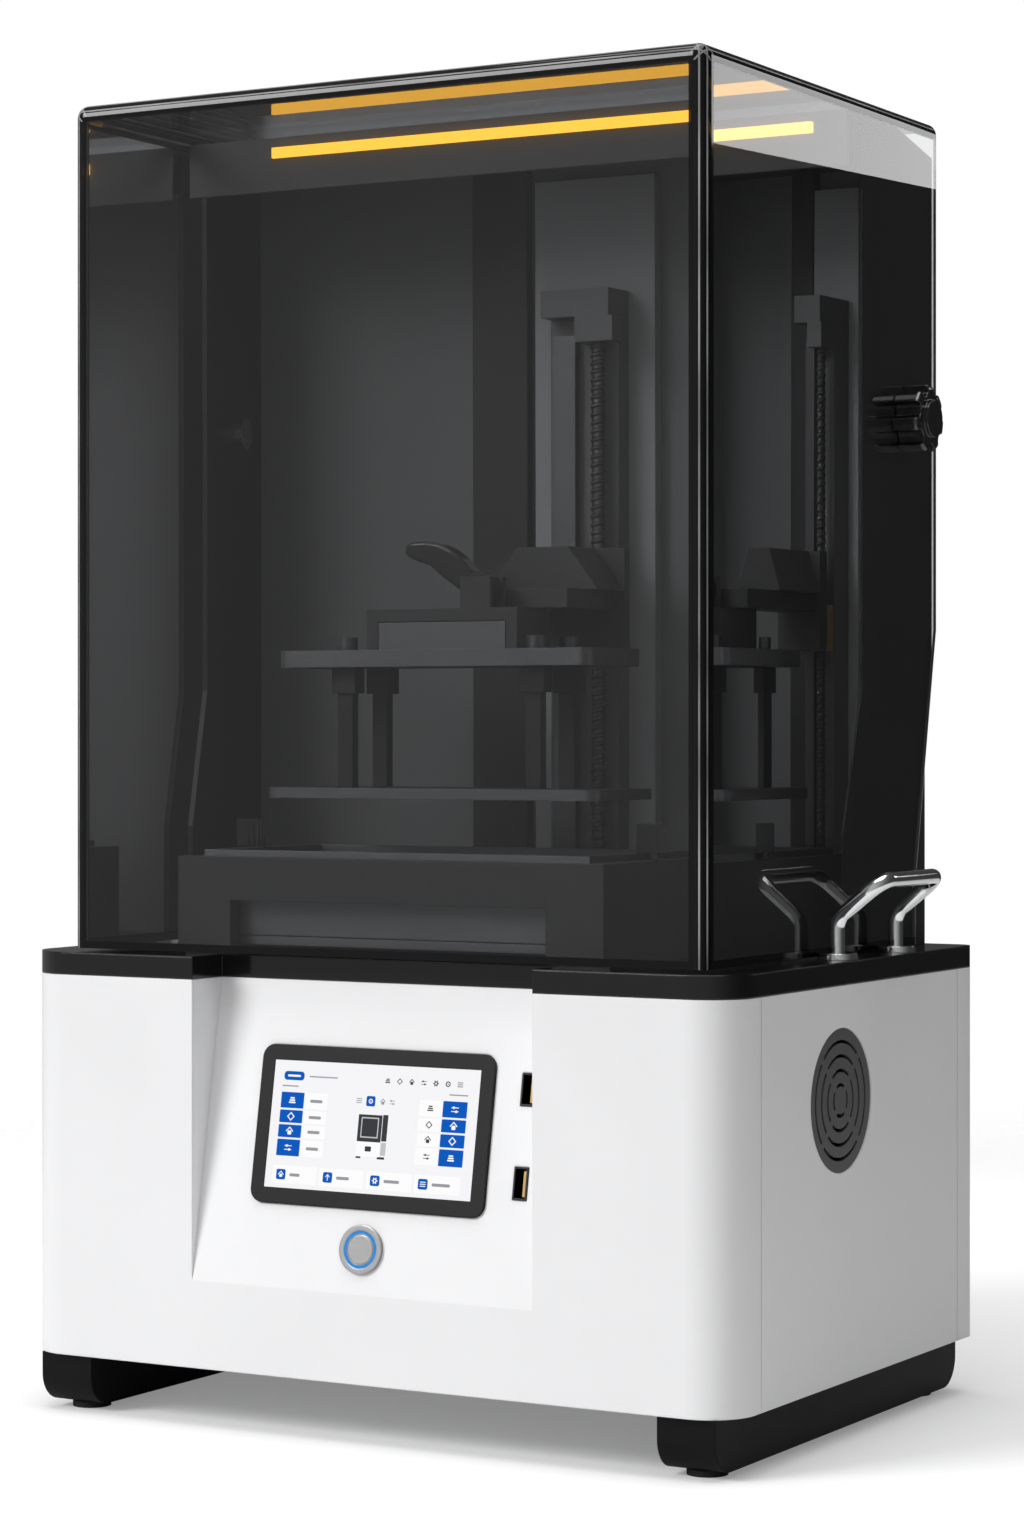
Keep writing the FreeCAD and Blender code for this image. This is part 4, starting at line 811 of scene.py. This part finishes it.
WHITE_PAINT = Coating("white powder coat", (0.83, 0.83, 0.84), 0.4, edge=1.0 * MM)
GLOSS_BLACK = Coating("gloss black deck", (0.006, 0.006, 0.0065), 0.12, depth=0.003 * MM, edge=1.2 * MM)
FOOT_BLACK = Coating("moulded black foot", (0.004, 0.004, 0.0042), 0.5, 0.9 * MM, 0.02 * MM, gloss=0.12)
PAD_RUBBER = Coating("matt rubber", (0.012, 0.012, 0.012), 0.85, 0.5 * MM, 0.03 * MM)
ZINC_SHEET = BareMetal("zinc sheet", (0.52, 0.53, 0.55), 0.42, grain=4 * MM)
BEZEL_BLACK = Coating("bezel black", (0.014, 0.014, 0.0148), 0.5, 0.4 * MM, 0.006 * MM,
                      edge=0.7 * MM, gloss=0.2)
SATIN_STEEL = BareMetal("satin button steel", (0.4, 0.4, 0.405), 0.36, Stroke.ACROSS, 0.25 * MM,
                        edge=0.9 * MM)
SOCKET_STEEL = BareMetal("blackened socket steel", (0.05, 0.05, 0.055), 0.3, edge=0.2 * MM)
CONTACT_BRASS = BareMetal("contact brass", (0.62, 0.4, 0.16), 0.3, Stroke.UPRIGHT, edge=0.2 * MM)
GRILLE_GREY = Coating("grille grey", (0.075, 0.075, 0.078), 0.45, 0.5 * MM, 0.015 * MM, edge=0.5 * MM)
FAN_BLACK = Coating("fan black", (0.012, 0.012, 0.013), 0.5, 0.6 * MM, 0.01 * MM)
CHROME = BareMetal("polished chrome", (0.86, 0.87, 0.88), 0.07, grain=1.5 * MM, depth=0.001 * MM)
KNOB_BLACK = Coating("gloss knob", (0.006, 0.006, 0.0065), 0.08, 0.8 * MM, 0.004 * MM,
                     edge=0.8 * MM, gloss=1.0)
HOUSING_BLACK = Coating("satin housing black", (0.012, 0.012, 0.0125), 0.36, 0.6 * MM, 0.012 * MM)
WALL_GREY = Coating("satin wall grey", (0.2, 0.201, 0.204), 0.5, 0.6 * MM, 0.012 * MM)
COVER_GREY = Coating("column cover grey", (0.43, 0.431, 0.436), 0.45, 0.6 * MM, 0.012 * MM)
VISOR_GREY = Coating("visor grey", (0.1, 0.1, 0.102), 0.45, 0.6 * MM, 0.012 * MM)
DUCT_BLACK = Coating("duct black", (0.018, 0.018, 0.019), 0.5, 0.6 * MM, 0.015 * MM)
COLUMN_GREY = Coating("column grey", (0.17, 0.17, 0.173), 0.45, 0.5 * MM, 0.01 * MM)
DARK_STEEL = BareMetal("blackened steel", (0.14, 0.14, 0.145), 0.4, Stroke.UPRIGHT, 0.3 * MM)
GROUND_STEEL = BareMetal("ground rail steel", (0.5, 0.51, 0.52), 0.26, Stroke.UPRIGHT, 0.3 * MM)
BLASTED_PLATE = BareMetal("blasted plate", (0.18, 0.18, 0.188), 0.5, grain=0.35 * MM, depth=0.02 * MM)
ARM_GREY = Coating("arm grey", (0.05, 0.05, 0.052), 0.42, 0.5 * MM, 0.01 * MM)
FRAME_GREY = Coating("vat frame grey", (0.06, 0.06, 0.062), 0.4, 0.6 * MM, 0.012 * MM)
VAT_METAL = BareMetal("vat aluminium", (0.22, 0.22, 0.23), 0.4, Stroke.ACROSS, 0.5 * MM)
MOTOR_DARK = Coating("motor dark", (0.02, 0.02, 0.021), 0.5, 0.8 * MM, 0.02 * MM)
SUPPLY_METAL = BareMetal("supply case", (0.6, 0.6, 0.6), 0.4, Stroke.ACROSS, 0.6 * MM)
WINDOW_GLASS = ClearSheet("optical window", (0.8, 0.86, 0.86))
VAT_FILM = ClearSheet("vat film", (0.86, 0.88, 0.86))
BOARD_GREEN = CircuitBoard("circuit board")
AMBER_GLOW = Glow("amber diffuser", (1.0, 0.5, 0.05), 3.2, 4 * MM)
BLUE_GLOW = Glow("blue ring light", (0.04, 0.3, 0.8), 1.0, 1.2 * MM, 0.3)
PAGE_WHITE = Glow("screen page", (0.94, 0.94, 0.96))
CARD_WHITE = Glow("screen card", WHITE)
TILE_BLUE = Glow("screen tile", (0.0005, 0.1, 0.52))
LINE_GREY = Glow("screen line", (0.33, 0.33, 0.36))
MARK_DARK = Glow("screen dark mark", (0.06, 0.06, 0.07))
PICTURE_DARK = Glow("screen picture dark", (0.045, 0.046, 0.05))
PICTURE_PALE = Glow("screen picture pale", (0.55, 0.56, 0.58))


@dataclass
class Cabinet:
    """White cabinet with its feet, deck and what is inside."""

    bench: Bench

    def dress(self) -> None:
        """Gives the cabinet's nodes their finishes."""
        dress = self.bench.dress
        dress(WHITE_PAINT, "front_fascia", "side_panel_left", "side_panel_right", "rear_cover")
        dress(GLOSS_BLACK, "deck_plate")
        dress(FOOT_BLACK, "runner_feet")
        dress(PAD_RUBBER, "foot_pads")
        dress(ZINC_SHEET, "base_pan")
        dress(WINDOW_GLASS, "optical_window")
        dress(MOTOR_DARK, "light_engine", "z_motor")
        dress(SUPPLY_METAL, "power_supply")
        dress(BOARD_GREEN, "main_board")
        dress(FAN_BLACK, "mains_inlet", "fan_frame", "fan_rotor")
        dress(KNOB_BLACK, "mains_rocker")
        dress(GRILLE_GREY, "fan_grille")
        dress(CHROME, "handle_left", "handle_right", "handle_fixings")


class Ink(Enum):
    """Layers of ink on the screen, by their thickness over the glass."""

    LOW = 2
    MIDDLE = 3
    TOP = 4


class Corner(Enum):
    """Corner radii of the plates of ink."""

    HAIR = 0.1 * MM
    LINE = 0.2 * MM
    PICTURE = 0.3 * MM
    TILE = 0.4 * MM
    PILL = 0.5 * MM
    CARD = 0.8 * MM
    KEY = 0.9 * MM
    TAB = 1.6 * MM


class Glyph(Enum):
    """Small wordless marks on the screen."""

    RING = "ring"
    DIAMOND = "diamond"
    HOUSE = "house"
    LINES = "lines"
    SLIDER = "slider"
    ARROW = "arrow"
    LAYERS = "layers"
    GEAR = "gear"


@dataclass
class Pen:
    """Draws one small mark, with its points in shares of half its size."""

    shape: Shape
    middle: Pair
    size: float
    levels: Pair
    stroke: float = 0.14
    dot_sides: int = 12
    teeth: int = 6

    def __post_init__(self) -> None:
        """Works out half the size and the stroke's width."""
        self.half = self.size / 2
        self.width = self.size * self.stroke

    def spot(self, across: float, up: float) -> Pair:
        """Turns shares of half the size into a point."""
        x, y = self.middle
        return (x + self.half * across, y + self.half * up)

    def bar(self, start: Pair, end: Pair, weight: float = 1.0) -> None:
        """Draws a stroke from one spot to another."""
        self.shape.bar(self.spot(*start), self.spot(*end), self.width * weight, self.levels)

    def dot(self, centre: Pair, radius: float) -> None:
        """Draws a dot at a spot."""
        self.shape.disc(self.spot(*centre), self.half * radius, self.levels, self.dot_sides)

    def ring(self, inner: float, outer: float) -> None:
        """Draws a ring about the middle."""
        self.shape.ring(self.middle, (self.half * inner, self.half * outer), self.levels)

    def block(self, up: float, size: Pair, rounding: float) -> None:
        """Draws a block above or below the middle.

        Args:
            up: Its height over the middle.
            size: Width and height as shares of the mark's size.
            rounding: Corner radius as a share of the stroke's width.
        """
        width, height = size
        sides = (self.size * width, self.size * height)
        self.shape.plate(self.spot(0.0, up), sides, self.levels, self.width * rounding)

    def draw(self, mark: Glyph) -> None:
        """Draws a mark.

        Args:
            mark: The mark.
        """
        left, top, right, bottom = (-1, 0), (0, 1), (1, 0), (0, -1)
        if mark is Glyph.RING:
            self.ring(0.62, 1.0)
            self.dot((0, 0), 0.24)
        elif mark is Glyph.DIAMOND:
            for start, end in ((left, top), (top, right), (right, bottom), (bottom, left)):
                self.bar(start, end)
        elif mark is Glyph.HOUSE:
            self.bar(left, top)
            self.bar(top, right)
            self.block(-0.4, (0.6, 0.55), 1.0)
        elif mark is Glyph.LINES:
            for row in (-0.7, 0.0, 0.7):
                self.bar((-1, row), (1, row))
        elif mark is Glyph.SLIDER:
            for row, knob in ((-0.5, 0.4), (0.5, -0.4)):
                self.bar((-1, row), (1, row), 0.8)
                self.dot((knob, row), 0.34)
        elif mark is Glyph.ARROW:
            self.bar(bottom, top)
            for side in (-0.7, 0.7):
                self.bar((side, 0.2), top)
        elif mark is Glyph.LAYERS:
            for row in (-0.6, 0.0, 0.6):
                self.block(row, (0.85 - row * 0.3, 0.2), 0.5)
        elif mark is Glyph.GEAR:
            self.ring(0.4, 0.78)
            for tooth in range(self.teeth):
                angle = math.tau * tooth / self.teeth
                across, up = math.cos(angle), math.sin(angle)
                self.bar((across * 0.7, up * 0.7), (across, up), 1.4)


@dataclass
class Page:
    """The shapes of the screen's page, one for each kind of ink."""

    cards: Shape
    tiles: Shape
    lines: Shape
    pale: Shape
    dark: Shape


@dataclass
class ControlPanel:
    """Slanted recess with the touch screen, the ring button and the data sockets.

    The page is drawn in shares of the screen's width, from the left, and height, from the top.
    """

    bench: Bench
    recess_depth: float = 24 * MM
    recess_height: float = 137 * MM
    foot: float = 67 * MM
    glass_width: float = 108 * MM
    glass_low: float = 44.75 * MM
    glass_high: float = 102.25 * MM
    glass_face: float = 1.3 * MM
    layer: float = 0.03 * MM
    rows: tuple[Pair, ...] = ((0.25, 0.375), (0.39, 0.49), (0.505, 0.605), (0.62, 0.75))
    row_marks: tuple[Glyph, ...] = (Glyph.LAYERS, Glyph.DIAMOND, Glyph.HOUSE, Glyph.SLIDER)
    tile_mark: float = 3.4 * MM
    card_mark: float = 3.0 * MM
    pill_half: float = 0.012
    key_start: float = 0.055
    key_pitch: float = 0.231
    key_growth: float = 0.012
    key_marks: tuple[Glyph, ...] = (Glyph.HOUSE, Glyph.ARROW, Glyph.GEAR, Glyph.LINES)
    key_mark: float = 2.6 * MM
    head_start: float = 0.56
    head_pitch: float = 0.058
    head_mark: float = 2.5 * MM
    middle_down: float = 0.285
    middle_mark: float = 2.2 * MM

    def __post_init__(self) -> None:
        """Sets up the panel's frame: right, up the slope, and outwards."""
        tilt = math.atan2(self.recess_depth, self.recess_height)
        lean, rise = math.sin(tilt), math.cos(tilt)
        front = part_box("front_fascia")[0][1]
        right, up, out = (1, 0, 0, 0), (0, lean, rise, 0), (0, -rise, lean, 0)
        self.frame = Matrix((right, up, out, (0, front, self.foot, 1))).transposed()
        self.glass_height = self.glass_high - self.glass_low

    def dress(self) -> None:
        """Gives the panel's nodes their finishes."""
        dress = self.bench.dress
        dress(BEZEL_BLACK, "screen_bezel")
        dress(PAGE_WHITE, "display_glass")
        dress(DUCT_BLACK, "display_module")
        dress(SATIN_STEEL, "button_body", "button_cap")
        dress(BLUE_GLOW, "button_light_ring")
        dress(SOCKET_STEEL, "usb_shells")
        dress(CONTACT_BRASS, "usb_tongues")

    def spot(self, across: float, down: float) -> Pair:
        """Turns shares of the screen's width and height into a point on the panel."""
        return (self.glass_width * (across - 0.5), self.glass_high - self.glass_height * down)

    def level(self, ink: Ink) -> Pair:
        """Gives the faces of one layer of ink above the glass."""
        return (self.glass_face, self.glass_face + self.layer * ink.value)

    def patch(self, shape: Shape, across: Pair, down: Pair, ink: Ink, corner: Corner) -> None:
        """Adds a plate of ink.

        Args:
            shape: The shape that it joins.
            across: Left and right edge.
            down: Top and bottom edge.
            ink: The layer of ink.
            corner: Corner radius.
        """
        first, second = (Vector(self.spot(*point)) for point in zip(across, down))
        size = (abs(second.x - first.x), abs(second.y - first.y))
        shape.plate(tuple((first + second) / 2), size, self.level(ink), corner.value)

    def glyph(self, shape: Shape, mark: Glyph, middle: Pair, size: float, ink: Ink) -> None:
        """Draws one small mark.

        Args:
            shape: The shape that it joins.
            mark: The mark.
            middle: Its middle.
            size: Its width in metres.
            ink: The layer of ink.
        """
        Pen(shape, self.spot(*middle), size, self.level(ink)).draw(mark)

    def page(self) -> None:
        """Draws the screen's wordless page: tiles, cards, lines and marks, with a small picture."""
        page = Page(*(Shape(self.frame) for _ in range(5)))
        self._sides(page)
        self._foot(page)
        self._head(page)
        self._middle(page)
        self._print(page.cards, "screen_cards", CARD_WHITE)
        self._print(page.tiles, "screen_tiles", TILE_BLUE)
        self._print(page.lines, "screen_lines", LINE_GREY)
        self._print(page.pale, "screen_pale_marks", CARD_WHITE)
        self._print(page.dark, "screen_dark_marks", MARK_DARK)
        self._picture()

    def _print(self, shape: Shape, name: str, finish: Finish) -> None:
        """Adds a shape of ink to the screen."""
        self.bench.add(shape, name, finish, "base", "screen_glass")

    def _sides(self, page: Page) -> None:
        """Draws the rows of tiles and cards at both sides.

        Args:
            page: The shapes that it adds to.
        """
        for row, mark, far_mark in zip(self.rows, self.row_marks, reversed(self.row_marks)):
            middle = sum(row) / 2
            pill = (middle - self.pill_half, middle + self.pill_half)
            self.patch(page.tiles, (0.045, 0.158), row, Ink.MIDDLE, Corner.TILE)
            self.patch(page.cards, (0.165, 0.275), row, Ink.LOW, Corner.TILE)
            self.glyph(page.pale, mark, (0.101, middle), self.tile_mark, Ink.TOP)
            self.patch(page.lines, (0.19, 0.25), pill, Ink.MIDDLE, Corner.PILL)
            self.patch(page.tiles, (0.835, 0.95), row, Ink.MIDDLE, Corner.TILE)
            self.patch(page.cards, (0.722, 0.828), row, Ink.LOW, Corner.TILE)
            self.glyph(page.pale, far_mark, (0.893, middle), self.tile_mark, Ink.TOP)
            self.glyph(page.dark, mark, (0.776, middle), self.card_mark, Ink.MIDDLE)

    def _foot(self, page: Page) -> None:
        """Draws the row of keys along the foot, each with a longer line than the one before.

        Args:
            page: The shapes that it adds to.
        """
        for place, mark in enumerate(self.key_marks):
            left = self.key_start + self.key_pitch * place
            pill = (left + 0.066, left + 0.116 + self.key_growth * place)
            self.patch(page.cards, (left - 0.02, left + 0.2), (0.825, 0.965), Ink.LOW, Corner.CARD)
            self.patch(page.tiles, (left, left + 0.046), (0.855, 0.937), Ink.MIDDLE, Corner.KEY)
            self.glyph(page.pale, mark, (left + 0.023, 0.896), self.key_mark, Ink.TOP)
            self.patch(page.lines, pill, (0.884, 0.908), Ink.MIDDLE, Corner.PILL)

    def _head(self, page: Page) -> None:
        """Draws the tab, the thin lines and the marks along the head.

        Args:
            page: The shapes that it adds to.
        """
        self.patch(page.tiles, (0.05, 0.15), (0.085, 0.155), Ink.MIDDLE, Corner.TAB)
        self.patch(page.pale, (0.068, 0.132), (0.112, 0.128), Ink.TOP, Corner.TILE)
        self.patch(page.lines, (0.175, 0.315), (0.115, 0.125), Ink.LOW, Corner.LINE)
        for across in ((0.045, 0.125), (0.86, 0.95)):
            self.patch(page.lines, across, (0.196, 0.206), Ink.LOW, Corner.LINE)
        for place, mark in enumerate((*self.row_marks, Glyph.GEAR, Glyph.RING, Glyph.LINES)):
            across = self.head_start + self.head_pitch * place
            self.glyph(page.dark, mark, (across, 0.12), self.head_mark, Ink.MIDDLE)

    def _middle(self, page: Page) -> None:
        """Draws the key and the marks above the small picture.

        Args:
            page: The shapes that it adds to.
        """
        self.patch(page.tiles, (0.465, 0.508), (0.245, 0.325), Ink.MIDDLE, Corner.CARD)
        self.glyph(page.pale, Glyph.RING, (0.4865, self.middle_down), self.middle_mark, Ink.TOP)
        for across, mark in ((0.43, Glyph.LINES), (0.545, Glyph.HOUSE), (0.59, Glyph.SLIDER)):
            self.glyph(page.lines, mark, (across, self.middle_down), self.key_mark, Ink.LOW)

    def _picture(self) -> None:
        """Draws the small picture of the printer in the middle of the screen."""
        dark, pale, light = (Shape(self.frame) for _ in range(3))
        plates = (
            (dark, (0.435, 0.55), (0.39, 0.6), Ink.LOW, Corner.PICTURE),
            (dark, (0.553, 0.578), (0.385, 0.59), Ink.LOW, Corner.LINE),
            (light, (0.435, 0.55), (0.605, 0.715), Ink.LOW, Corner.LINE),
            (pale, (0.553, 0.578), (0.6, 0.7), Ink.LOW, Corner.LINE),
            (pale, (0.45, 0.535), (0.41, 0.57), Ink.MIDDLE, Corner.PICTURE),
            (dark, (0.455, 0.53), (0.42, 0.56), Ink.TOP, Corner.PICTURE),
            (dark, (0.478, 0.508), (0.635, 0.675), Ink.TOP, Corner.TILE),
            (dark, (0.437, 0.46), (0.716, 0.73), Ink.LOW, Corner.HAIR),
            (dark, (0.54, 0.575), (0.712, 0.73), Ink.LOW, Corner.HAIR),
        )
        for plate in plates:
            self.patch(*plate)
        self._print(dark, "screen_picture_dark", PICTURE_DARK)
        self._print(pale, "screen_picture_pale", PICTURE_PALE)
        self._print(light, "screen_picture_light", CARD_WHITE)


@dataclass
class Hood:
    """Tinted hood with its pivots and star knobs."""

    bench: Bench
    tint: Colour = (0.43, 0.435, 0.44)
    heel_rear: float = 104 * MM
    heel: float = 245 * MM
    waist: float = 366 * MM

    def dress(self) -> None:
        """Gives the hood's nodes their finishes, the acrylic placed by the hood's own box."""
        low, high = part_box("hood")
        acrylic = TintedAcrylic("smoke acrylic", self.tint, low, high,
                                self.heel_rear, self.heel, self.waist)
        self.bench.dress(acrylic, "hood")
        self.bench.dress(DUCT_BLACK, "hood_bushes")
        self.bench.dress(GROUND_STEEL, "pivot_bolts")
        self.bench.dress(KNOB_BLACK, "star_knob_left", "star_knob_right")


@dataclass
class RearHousing:
    """Black housing behind the chamber, with the light bar."""

    bench: Bench

    def dress(self) -> None:
        """Gives the housing's nodes their finishes."""
        self.bench.dress(HOUSING_BLACK, "housing_cheeks")
        self.bench.dress(VISOR_GREY, "visor")
        self.bench.dress(WALL_GREY, "back_wall")
        self.bench.dress(COVER_GREY, "column_cover")
        self.bench.dress(DUCT_BLACK, "cable_duct")
        self.bench.dress(COLUMN_GREY, "column_cap")
        self.bench.dress(AMBER_GLOW, "light_bar")


@dataclass
class Lift:
    """Column, rail, screw and the platform that they carry."""

    bench: Bench
    thread_foot: float = 205 * MM
    thread_start: float = 219 * MM
    thread_top: float = 503 * MM
    thread_lead: float = 4 * MM
    thread_root: float = 3.3 * MM
    thread_crest: float = 4 * MM
    thread_flank: float = 0.7 * MM
    thread_land: float = 1 * MM
    thread_steps: int = 16
    sunk_share: float = 0.97
    shaft_radius: float = 2.5 * MM
    lever_pivot: Pair = (18 * MM, 382.4 * MM)
    lever_levels: Pair = (3.6 * MM, 17.6 * MM)
    lever_bore: float = 3.2 * MM
    lever_cam: float = 8 * MM
    lever_cam_sides: int = 32
    lever_soft: float = 1.2 * MM

    def dress(self) -> None:
        """Gives the lift's nodes their finishes."""
        dress = self.bench.dress
        dress(COLUMN_GREY, "z_column")
        dress(DARK_STEEL, "linear_rail", "lead_screw", "carriage_block", "level_screws")
        dress(CONTACT_BRASS, "screw_nut")
        dress(ARM_GREY, "carriage_plate", "arm", "clamp_bracket")
        dress(DUCT_BLACK, "platform_posts")
        dress(KNOB_BLACK, "cam_lever")
        dress(BLASTED_PLATE, "upper_plate", "build_plate")

    def screw(self) -> None:
        """Models the lead screw with its thread."""
        low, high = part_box("lead_screw")
        middle = (low + high) / 2
        shape = Shape(Matrix.Translation((middle.x, middle.y, 0.0)))
        shape.disc((0, 0), self.shaft_radius, (low.z, self.thread_foot))
        shape.disc((0, 0), self.thread_crest, (self.thread_foot, self.thread_start))
        shape.disc((0, 0), self.thread_root, (self.thread_start, self.thread_top))
        shape.disc((0, 0), self.thread_crest, (self.thread_top, high.z))
        turns = int((self.thread_top - self.thread_start) / self.thread_lead) - 1
        sunk = self.thread_root * self.sunk_share
        crest_low = self.thread_start + self.thread_flank
        crest_high = crest_low + self.thread_land
        profile = [(sunk, self.thread_start), (self.thread_crest, crest_low),
                   (self.thread_crest, crest_high), (sunk, crest_high + self.thread_flank)]
        shape.helix(profile, self.thread_lead, turns, self.thread_steps)
        piece = self.bench.add(shape, "lead_screw_thread", DARK_STEEL, "lead_screw", "rail_steel")
        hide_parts("lead_screw")

    def lever(self) -> None:
        """Models the cam lever with its swan-necked paddle, whose spine has a thickness at each point."""
        pivot_x, pivot_z = self.lever_pivot
        frame = Matrix(((1, 0, 0, pivot_x), (0, 0, -1, 0), (0, 1, 0, pivot_z), (0, 0, 0, 1)))
        shape = Shape(frame)
        shape.ring((0, 0), (self.lever_bore, self.lever_cam), self.lever_levels, self.lever_cam_sides)
        spine = ((-3, 2, 13), (-9, 7, 15), (-14, 10.5, 15.5), (-20, 14, 14.5),
                 (-26, 17.2, 11), (-32, 18.2, 9.2), (-36.5, 18.8, 7), (-39, 19, 3.4))
        upper = [(x * MM, (z + thick / 2) * MM) for x, z, thick in spine]
        lower = [(x * MM, (z - thick / 2) * MM) for x, z, thick in spine]
        shape.outline(upper + lower[::-1], self.lever_levels, self.lever_soft)
        piece = self.bench.add(shape, "cam_lever_paddle", KNOB_BLACK, "cam_lever", "lever_black")
        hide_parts("cam_lever")


@dataclass
class Vat:
    """Resin vat with its frame and thumb knobs."""

    bench: Bench

    def dress(self) -> None:
        """Gives the vat's nodes their finishes."""
        self.bench.dress(FRAME_GREY, "vat_frame")
        self.bench.dress(VAT_METAL, "resin_vat", "film_ring")
        self.bench.dress(VAT_FILM, "vat_film")
        self.bench.dress(KNOB_BLACK, "thumb_knob_left", "thumb_knob_right")


@dataclass
class Viewpoint:
    """A level camera in front and to the right, as the photograph was taken."""

    place: Triple = (0.8663, -1.5121, 0.3177)
    azimuth: float = math.radians(29.706)
    lens: float = 85.95
    sensor: float = 36.0
    shift: float = -0.0245
    sight: float = 50.0

    def set_up(self) -> None:
        """Makes the camera and hands it to the scene."""
        data = bpy.data.cameras.new("viewpoint")
        data.lens = self.lens
        data.sensor_width = self.sensor
        data.shift_y = self.shift
        data.clip_end = self.sight
        camera = bpy.data.objects.new("viewpoint", data)
        camera.location = self.place
        camera.rotation_euler = (math.pi / 2, 0.0, self.azimuth)
        bpy.context.scene.collection.objects.link(camera)
        bpy.context.scene.camera = camera


@dataclass
class Studio:
    """White studio: floor, bright card, world and soft lamps."""

    sheet: float = 4 * MM
    floor_radius: float = 1.6
    floor_sides: int = 96
    floor_grey: Colour = (0.75, 0.75, 0.75)
    floor_fade: Pair = (0.45, 0.95)
    lift: float = 0.36
    # Within this reach of the middle the lift is weaker, down to the first share: a painted shadow on the
    # floor around the printer.
    painted_shadow_reach: Pair = (0.15, 0.6)
    painted_shadow_levels: Pair = (0.65, 1.0)
    ambient: float = 0.23
    mirror_side: Triple = (-0.5, -0.87, 0.0)
    mirror_reach: Pair = (-0.95, 0.9)
    mirror_levels: Pair = (0.04, 0.42)
    card_side: float = 1.2
    card_reach: Pair = (1.7, 2.9)
    card_levels: Pair = (0.955, 1.4)
    card_strength: float = 3.5
    card_turn: float = 0.046
    lamp_aim: Triple = (0.0, 0.0, 0.25)
    key_place: Triple = (-1.7, -2.7, 2.2)
    key_size: float = 1.5
    key_power: float = 94.0
    top_place: Triple = (0.1, -0.2, 3.0)
    top_size: float = 2.2
    top_power: float = 60.0

    def set_up(self) -> None:
        """Builds the floor, the card, the world and the lamps."""
        bpy.context.scene.view_settings.view_transform = "Standard"
        self._floor()
        self._card()
        self._world()
        self._lamp("key", self.key_place, self.key_size, self.key_power)
        self._lamp("top", self.top_place, self.top_size, self.top_power)

    def _floor(self) -> None:
        """Lays a pale round floor that fades into the white ground and looks lighter than it is."""
        shape = Shape()
        shape.disc((0.0, 0.0), self.floor_radius, (-self.sheet, 0.0), self.floor_sides)
        floor = shape.build("floor")
        material = bpy.data.materials.new("pale floor")
        recipe = Recipe(material)
        where = recipe.object_place()
        distance = recipe.add("ShaderNodeVectorMath", {"operation": "LENGTH"}, {0: where}, output="Value")
        fade_start, fade_end = (self.floor_radius * share for share in self.floor_fade)
        fade = recipe.ease(distance, (fade_start, fade_end))
        seen = recipe.add("ShaderNodeLightPath", output="Is Camera Ray")
        # The glow is weaker near the middle, which paints a soft shadow around the printer.
        lift = recipe.glow(seen * recipe.ease(distance, self.painted_shadow_reach, self.painted_shadow_levels) * self.lift)
        paper = recipe.add("ShaderNodeAddShader", inputs={0: recipe.matt(self.floor_grey), 1: lift})
        recipe.finish(recipe.cover(fade, paper, recipe.clear()))
        floor.data.materials.append(material)

    def _card(self) -> None:
        """Stands a bright card behind and to the right, which only mirrors see."""
        low, high = self.card_levels
        near, far = self.card_reach
        shape = Shape(Matrix(((0, 0, 1, self.card_side), (1, 0, 0, 0), (0, 1, 0, 0), (0, 0, 0, 1))))
        centre = ((near + far) / 2, (low + high) / 2)
        shape.plate(centre, (far - near, high - low), (0.0, self.sheet), turn=self.card_turn)
        card = shape.build("card")
        material = bpy.data.materials.new("bright card")
        recipe = Recipe(material)
        recipe.finish(recipe.glow(self.card_strength))
        card.data.materials.append(material)
        card.visible_camera = False
        card.visible_diffuse = False
        card.visible_transmission = False
        card.visible_shadow = False

    def _world(self) -> None:
        """Makes the ground white to the eye and through glass, and shades it in mirrors by its side."""
        world = bpy.data.worlds.new("white studio")
        bpy.context.scene.world = world
        recipe = Recipe(world)
        path = recipe.add("ShaderNodeLightPath", output="Is Camera Ray")
        seen = path | path.other("Is Transmission Ray")
        mirrored = path.other("Is Glossy Ray") * (1.0 - seen)
        direction = recipe.add("ShaderNodeTexCoord", output="Generated")
        facing = recipe.add("ShaderNodeVectorMath", {"operation": "DOT_PRODUCT"},
                            {0: direction, 1: self.mirror_side}, output="Value")
        shade = recipe.ease(facing, self.mirror_reach, self.mirror_levels)
        strength = seen + mirrored * shade + (1.0 - seen) * (1.0 - mirrored) * self.ambient
        inputs = {"Color": opaque(WHITE), "Strength": strength}
        recipe.finish(recipe.add("ShaderNodeBackground", inputs=inputs), "ShaderNodeOutputWorld")

    def _lamp(self, name: str, place: Triple, size: float, power: float) -> None:
        """Hangs one square soft lamp.

        Args:
            name: Its name.
            place: Where it hangs.
            size: Its side in metres.
            power: Its power in watts.
        """
        data = bpy.data.lights.new(name, "AREA")
        data.size = size
        data.energy = power
        lamp = bpy.data.objects.new(name, data)
        lamp.location = place
        aim = Vector(self.lamp_aim) - Vector(place)
        lamp.rotation_euler = aim.to_track_quat("-Z", "Y").to_euler()
        bpy.context.scene.collection.objects.link(lamp)


def main() -> None:
    """Builds the printer's sub-assemblies in order, then the studio."""
    logging.basicConfig(level=logging.INFO)
    bench = Bench()
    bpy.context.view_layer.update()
    Cabinet(bench).dress()
    panel = ControlPanel(bench)
    panel.dress()
    panel.page()
    Hood(bench).dress()
    RearHousing(bench).dress()
    lift = Lift(bench)
    lift.dress()
    lift.screw()
    lift.lever()
    Vat(bench).dress()
    Studio().set_up()
    Viewpoint().set_up()


if __name__ == "__main__":
    main()
